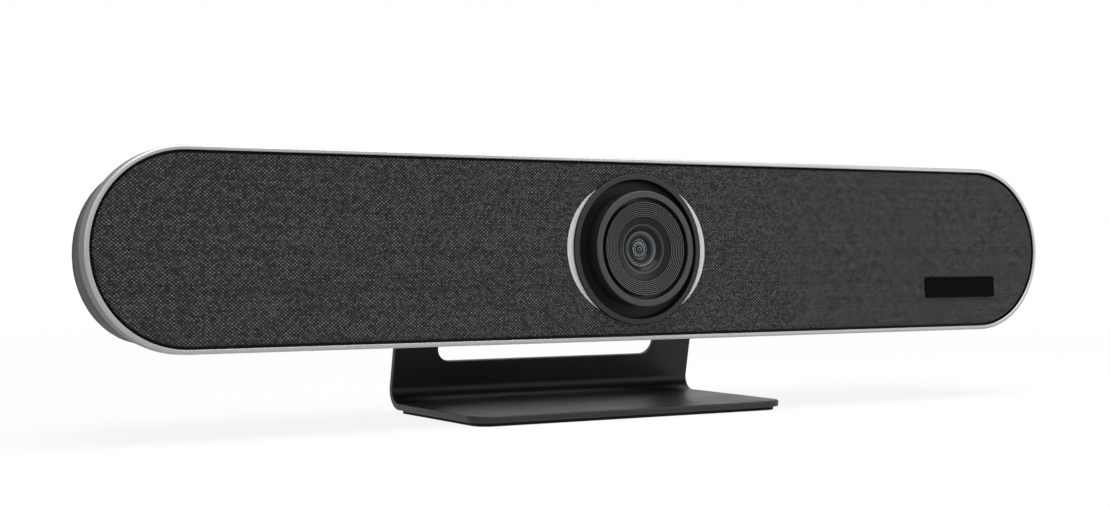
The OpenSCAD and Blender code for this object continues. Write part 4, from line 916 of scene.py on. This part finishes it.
def makeTurned(name, node, corners):
    bm = bmesh.new()
    sweep(bm, roundedOutline(corners), roundStations(cameraSizes["segments"]))
    finishPiece(name, bm, node)


def makeCup():
    sizes = cameraSizes
    floor = cupFront + sizes["bowlDepth"]
    bowlR, sideR, under = cupR - sizes["cupRim"], cupR - sizes["cupWall"], floor + sizes["cupFloor"]
    floorR = hoodR - sizes["collarStep"] + 0.1
    makeTurned("lensCup", "lens_cup", [
        (bowlR, cupFront, 0.35), (cupR, cupFront, 0.45), (cupR, cupBack, 0.3), (sideR, cupBack, 0.3),
        (sideR, under, 0), (floorR, under, 0), (floorR, floor, 0), (bowlR, floor, 1.6),
    ])


def makeHood():
    sizes = cameraSizes
    innerR, bodyR, shelfR = hoodR - sizes["hoodRing"], hoodR - sizes["collarStep"], sizes["shelfR"]
    collar, shelf = hoodFront + sizes["collar"], hoodFront + sizes["shelfDepth"]
    makeTurned("lensHood", "lens_hood", [
        (innerR, hoodFront, 0.3), (hoodR, hoodFront, 0.7), (hoodR, collar, 0.25), (bodyR, collar, 0.15),
        (bodyR, hoodBack, 0.3), (innerR, hoodBack, 0.3), (innerR, shelf + sizes["shelf"], 0),
        (shelfR, shelf + sizes["shelf"], 0), (shelfR, shelf, 0), (innerR, shelf, 0),
    ])


def makeTrim():
    sizes = cameraSizes
    trimR, front, back = turnedSize("lens_trim_ring")
    edge, ribsTo = sizes["trimEdge"], sizes["ribbedTo"]
    ribsFrom = trimR - edge
    bore, lip = sizes["trimBore"], hoodFront + sizes["lipDepth"]
    bm = bmesh.new()
    bm.from_mesh(growMesh(
        ribTree(), [(0, 0, 0)], "barrel_black", Outer_Radius=ribsFrom, Inner_Radius=ribsTo, Front_Depth=front,
        Slope=sizes["ribSlope"], Rib_Depth=sizes["ribDepth"], Ribs=sizes["ribs"], Steps=sizes["ribSteps"],
        Segments=sizes["segments"],
    ))
    sweep(bm, [
        (ribsFrom, front), (trimR - edge * 0.3, front + edge * 0.3), (trimR, front + edge), (trimR, back),
        (bore, back), (bore, lip + 0.2), (bore + 0.2, lip),
        (ribsTo, front + (ribsFrom - ribsTo) * sizes["ribSlope"]),
    ], roundStations(sizes["segments"]), closed=False)
    bmesh.ops.remove_doubles(bm, verts=bm.verts, dist=1e-3)
    finishPiece("ribbedTrim", bm, "lens_trim_ring", slot="barrel_black")


def makeBarrel():
    sizes = cameraSizes
    barrelR, front, back = turnedSize("lens_barrel")
    recessR, glassR, bore = sizes["recessR"], sizes["glassR"], sizes["barrelBore"]
    ring = hoodFront + sizes["recessDepth"]
    seat = ring + sizes["seatDepth"]
    makeTurned("lensBarrel", "lens_barrel", [
        (recessR, ring, 0.25), (recessR + 0.5, ring - 0.7, 0.3), (recessR + 1.5, ring - 0.75, 0.3),
        (barrelR - 0.7, front + 0.1, 0.3), (barrelR, front, 0.12), (barrelR, back, 0.3),
        (bore, back, 0.2), (bore, seat, 0), (glassR, seat, 0), (glassR, ring + 0.5, 0.2),
        (glassR + 0.7, ring, 0.15),
    ])


# Front glass: a dome in front, a hollow at the back
glassSizes = {
    "gap": 0.1, "sag": 1.2, "edge": 0.1, "domeSteps": 16, "hollow": 0.7, "hollowRim": 0.9, "hollowSteps": 12,
    "segments": 96,
}


def ballRadius(reach, sag):  # of the ball whose cap has this radius and height
    return (reach ** 2 + sag ** 2) / (2 * sag)


def makeFrontGlass():
    sizes = glassSizes
    elementR, front, back = turnedSize("front_lens")
    edge, foot = sizes["edge"], front + sizes["sag"]
    glassR = cameraSizes["glassR"] - sizes["gap"]
    hollowR = glassR - sizes["hollowRim"]
    ballR, hollowBallR = ballRadius(glassR, sizes["sag"]), ballRadius(hollowR, sizes["hollow"])
    section = []
    for step in range(sizes["domeSteps"] + 1):  # from the dome's middle to its foot
        radius = glassR * step / sizes["domeSteps"]
        section.append((radius, front + ballR - math.sqrt(ballR ** 2 - radius ** 2)))
    section += [(elementR - edge, foot), (elementR, foot + edge), (elementR, back)]
    for step in range(sizes["hollowSteps"] + 1):  # from the hollow's rim to its middle
        radius = hollowR * (1 - step / sizes["hollowSteps"])
        rise = hollowBallR - math.sqrt(hollowBallR ** 2 - radius ** 2)
        section.append((radius, back + rise - sizes["hollow"]))
    bm = bmesh.new()
    sweep(bm, section, roundStations(sizes["segments"]), closed=False)
    finishPiece("frontGlass", bm, "front_lens")


# Stand: the flat plate with round edges, cut at the bend and bent up
standSizes = {
    "plate": 3.5, "bend": 7.5, "footCorner": 12.0, "armWidth": 27.0, "gapFloor": 28.0, "gapCorner": 8.0,
    "armCorner": 4.0, "armTip": 1.2, "edge": 0.7, "leafPlate": 2.2, "armTop": 6.2, "bendSteps": 30,
    "cornerSteps": 14,
}
standLow, standHigh = [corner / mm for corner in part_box("stand_bracket")]
hingeAt = Vector(joints["bar_tilt"]["pos_m"]) / mm
bendOuterR = standSizes["bend"] + standSizes["plate"]
bendMiddleR = standSizes["bend"] + standSizes["plate"] / 2
bendCentre = Vector((0, -standLow.y - bendOuterR, standLow.z + bendOuterR))
armOffset = standSizes["bend"] - standSizes["leafPlate"] / 2
hingeReach = hingeAt - bendCentre
armLean = math.atan2(hingeReach.z, hingeReach.y) - math.acos(armOffset / hingeReach.length)
armRun = math.sqrt(hingeReach.length ** 2 - armOffset ** 2) - standSizes["armTop"]
armUp = Vector((0, -math.sin(armLean), math.cos(armLean)))
armBack = Vector((0, math.cos(armLean), math.sin(armLean)))
armFrame = frameAt((bendCentre + armBack * standSizes["bend"]) * mm, armBack, armUp)
bendTurn = math.pi / 2 + armLean
footRun, bendRun = bendCentre.y - standLow.y, bendMiddleR * bendTurn


def bentPlace(x, lift, along):  # flat plate to bent plate; lift is the height above the outer face
    if along <= footRun:
        return Vector((x, standLow.y + along, standLow.z + lift))
    radius = bendOuterR - lift
    if along < footRun + bendRun:
        turn = bendTurn * (along - footRun) / bendRun - math.pi / 2
        return bendCentre + Vector((x, radius * math.cos(turn), radius * math.sin(turn)))
    return bendCentre + Vector((x, 0, 0)) + armBack * radius + armUp * (along - footRun - bendRun)


def makeStand():
    sizes = standSizes
    top, cut, tip = footRun + bendRun + armRun, sizes["armCorner"], sizes["armTip"]
    gapRise = sizes["gapFloor"] - bendCentre.z - bendMiddleR * math.sin(armLean)
    gap = footRun + bendRun + gapRise / math.cos(armLean)
    wide, narrow = standHigh.x, standHigh.x - sizes["armWidth"]
    right = [
        (wide, 0, sizes["footCorner"]), (wide, top - cut, tip), (wide - cut, top, tip),
        (narrow + cut, top, tip), (narrow, top - cut, tip), (narrow, gap, sizes["gapCorner"]),
    ]
    left = [(-x, along, radius) for x, along, radius in reversed(right)]
    bm = plateMesh(roundedOutline(right + left, sizes["cornerSteps"]), 0, sizes["plate"], sizes["edge"])
    for step in range(sizes["bendSteps"] + 1):
        line = Vector((0, 0, footRun + bendRun * step / sizes["bendSteps"]))
        everything = bm.verts[:] + bm.edges[:] + bm.faces[:]
        bmesh.ops.bisect_plane(bm, geom=everything, dist=1e-4, plane_co=line, plane_no=(0, 0, 1))
    for vertex in bm.verts:
        vertex.co = bentPlace(*vertex.co)
    finishPiece("bentStand", bm, "stand_bracket", place=rowFrame)


# Screws; the radii of their socket and shank are shares of the head's
screwSizes = {"headHeight": 1.5, "taper": 0.84, "socket": 0.5, "socketDepth": 0.9, "shank": 0.54}
screws = screwTree()


def makeScrews(name, node, frameMatrix, facing):
    sizes, boxes = screwSizes, solidBoxes(node, frameMatrix)
    width, length = boxes[0][1].x - boxes[0][0].x, boxes[0][1].y - boxes[0][0].y
    headR, headHeight = width / 2, sizes["headHeight"]
    seats = []
    for low, high in boxes:
        seats.append(frameMatrix @ Vector(((low.x + high.x) / 2, high.y - headHeight, (low.z + high.z) / 2)))
    mesh = growMesh(
        screws, seats, slots[node], Head_Radius=headR * mm, Head_Height=headHeight * mm,
        Taper=sizes["taper"], Socket_Radius=headR * sizes["socket"] * mm,
        Socket_Depth=sizes["socketDepth"] * mm, Shank_Radius=headR * sizes["shank"] * mm,
        Shank_Length=(length - headHeight) * mm,
        Turn=tuple(facing.to_track_quat("Z", "X").to_euler()),
    )
    replaceNode(name, mesh, node, sharp=30)


# Gold contacts on the upper wall of the network socket's bay
contactSizes = {"count": 8, "pitch": 1.02, "blade": (0.5, 9.0, 0.35), "bayHalf": 4.0, "inFromMouth": 5.5}


def makeContacts():
    sizes = contactSizes
    low, high = barBox("network_socket")
    up = (low.z + high.z) / 2 + sizes["bayHalf"] - sizes["blade"][2] * 0.3
    start = ((low.x + high.x) / 2, high.y - sizes["inFromMouth"], up)
    grown = growMesh(
        bladeTree(), [start], "contact_gold", Blades=sizes["count"], Pitch=sizes["pitch"],
        Size=sizes["blade"],
    )
    grown.transform(barFrame)
    dressPiece("networkContacts", grown, "contact_gold", "bar")


# The rear housing's round ends draw in towards the back
housingEnds = {"start": 9.5, "end": 62.0, "drawnIn": 8.0, "endR": 44.3}


def drawInEnds(place):
    sizes = housingEnds
    inBar = barFrame.inverted() @ place
    beyond = abs(inBar.x) - halfRun
    if beyond > 0 and inBar.y > sizes["start"]:
        share = min(1.0, (inBar.y - sizes["start"]) / (sizes["end"] - sizes["start"]))
        beyond *= 1 - sizes["drawnIn"] / sizes["endR"] * share
        inBar.x = math.copysign(halfRun + beyond, inBar.x)
    return barFrame @ inBar


makeFrontFrame()
makeCloth()
makeNameplate()
makeCrescent("lightCrescentRight", "light_guide_right")
makeCrescent("lightCrescentLeft", "light_guide_left", mirrored=True)
print("front made")
makeCup()
makeHood()
makeTrim()
makeBarrel()
makeFrontGlass()
print("camera unit made")
makeStand()
makeScrews("housingScrews", "housing_screws", barFrame, barBack)
makeScrews("leafScrews", "leaf_screws", barFrame, barBack)
makeScrews("armScrews", "arm_screws", armFrame, armBack)
makeContacts()
print("stand, screws and contacts made")

# Pieces whose CAD shape is right get broken edges
softened = {
    "rear_housing": ("rearHousing", 0.3), "base_pad": ("basePad", 0.4),
    "hinge_leaf_left": ("hingeLeafLeft", 0.25), "hinge_leaf_right": ("hingeLeafRight", 0.25),
    "hinge_barrel_left": ("hingeBarrelLeft", 0.2), "hinge_barrel_right": ("hingeBarrelRight", 0.2),
    "port_plate": ("portPlate", 0.15), "power_button": ("powerButton", 0.3),
    "power_socket": ("powerSocket", 0.12), "audio_socket": ("audioSocket", 0.15),
}
for node, (name, edge) in softened.items():
    softenedCopy(node, name, edge, reshape=drawInEnds if node == "rear_housing" else None)
print("softened copies made:", len(softened))


# Studio: a pale floor, a white background and soft lamps, each with its place, size and power
studio = {
    "floor": 0.86, "floorRough": 0.9, "floorGloss": 0.1, "floorReach": 6.0, "glowNear": 0.88,
    "glowRise": (0.45, 1.2), "ambient": 0.36, "lampsAim": (0, 0, 0.09), "lamps": {
        "keyLamp": ((0.1, -0.35, 1.3), (1.6, 1.0), 20.0), "fillLamp": ((1.3, -1.2, 0.7), (1.0, 1.0), 6.5),
        "sideLamp": ((-1.4, -0.6, 0.8), (0.8, 1.0), 3.0),
    },
}


def whiteToCamera(tree):  # 1 where the camera, a reflection or a refraction looks
    path = addNode(tree, "ShaderNodeLightPath")
    seen = calc(tree, "MAXIMUM", path.outputs["Is Camera Ray"], path.outputs["Is Glossy Ray"])
    return calc(tree, "MAXIMUM", seen, path.outputs["Is Transmission Ray"])


def blendShaders(tree, share, first, second, output):
    inputs = {0: share, 1: first.outputs[0], 2: second.outputs[0]}
    feed(tree, tree.nodes[output].inputs["Surface"], addNode(tree, "ShaderNodeMixShader", inputs).outputs[0])


def makeWorld():
    world = bpy.data.worlds.new("studioWorld")
    bpy.context.scene.world = world
    world.use_nodes = True
    tree = world.node_tree
    room, white = tree.nodes["Background"], addNode(tree, "ShaderNodeBackground")
    for shader, strength in ((room, studio["ambient"]), (white, 1.0)):
        feedAll(tree, shader, {"Color": (1, 1, 1, 1), "Strength": strength})
    blendShaders(tree, whiteToCamera(tree), room, white, "World Output")


def makeFloor():
    reach = studio["floorReach"]
    corners = [(-reach, -reach, 0), (reach, -reach, 0), (reach, reach, 0), (-reach, reach, 0)]
    mesh = bpy.data.meshes.new("studioFloor")
    mesh.from_pydata(corners, [], [(0, 1, 2, 3)])
    addObject("studioFloor", mesh)
    material, tree, shader, place = newMaterial("paleFloor")
    shade = studio["floor"]
    feedAll(tree, shader, {
        "Base Color": (shade, shade, shade, 1), "Roughness": studio["floorRough"],
        "Specular IOR Level": studio["floorGloss"],
    })
    glow = addNode(tree, "ShaderNodeEmission", {"Strength": 1.0})
    away = addNode(tree, "ShaderNodeVectorMath", {0: place}, operation="LENGTH").outputs["Value"]
    whiter = remap(tree, away, *studio["glowRise"], studio["glowNear"], 1.0)
    blendShaders(tree, times(tree, whiteToCamera(tree), whiter), shader, glow, "Material Output")
    mesh.materials.append(material)


def addLamp(name, place, size, power):
    lamp = bpy.data.lights.new(name, "AREA")
    lamp.shape = "RECTANGLE"
    lamp.size, lamp.size_y = size
    lamp.energy = power
    holder = addObject(name, lamp)
    holder.location = place
    aim = Vector(studio["lampsAim"]) - Vector(place)
    holder.rotation_euler = aim.to_track_quat("-Z", "Y").to_euler()


# Camera at the photograph's place, almost level, turned to the right
cameraView = {
    "place": (-0.5318, -0.8404, 0.0919), "turnRight": 31.2, "tilt": -0.21, "focusPixels": 1770.2,
    "photoWidth": 1110, "sensor": 36.0, "clip": (0.01, 50),
}


def makeCamera():
    view = cameraView
    data = bpy.data.cameras.new("photoCamera")
    data.sensor_width = view["sensor"]
    data.lens = view["sensor"] * view["focusPixels"] / view["photoWidth"]
    data.clip_start, data.clip_end = view["clip"]
    camera = addObject("photoCamera", data)
    camera.location = view["place"]
    camera.rotation_euler = (math.radians(90 + view["tilt"]), 0, -math.radians(view["turnRight"]))
    bpy.context.scene.camera = camera


makeWorld()
makeFloor()
for name, (place, size, power) in studio["lamps"].items():
    addLamp(name, place, size, power)
makeCamera()
bpy.context.scene.view_settings.view_transform = "Standard"
print("studio and camera made")
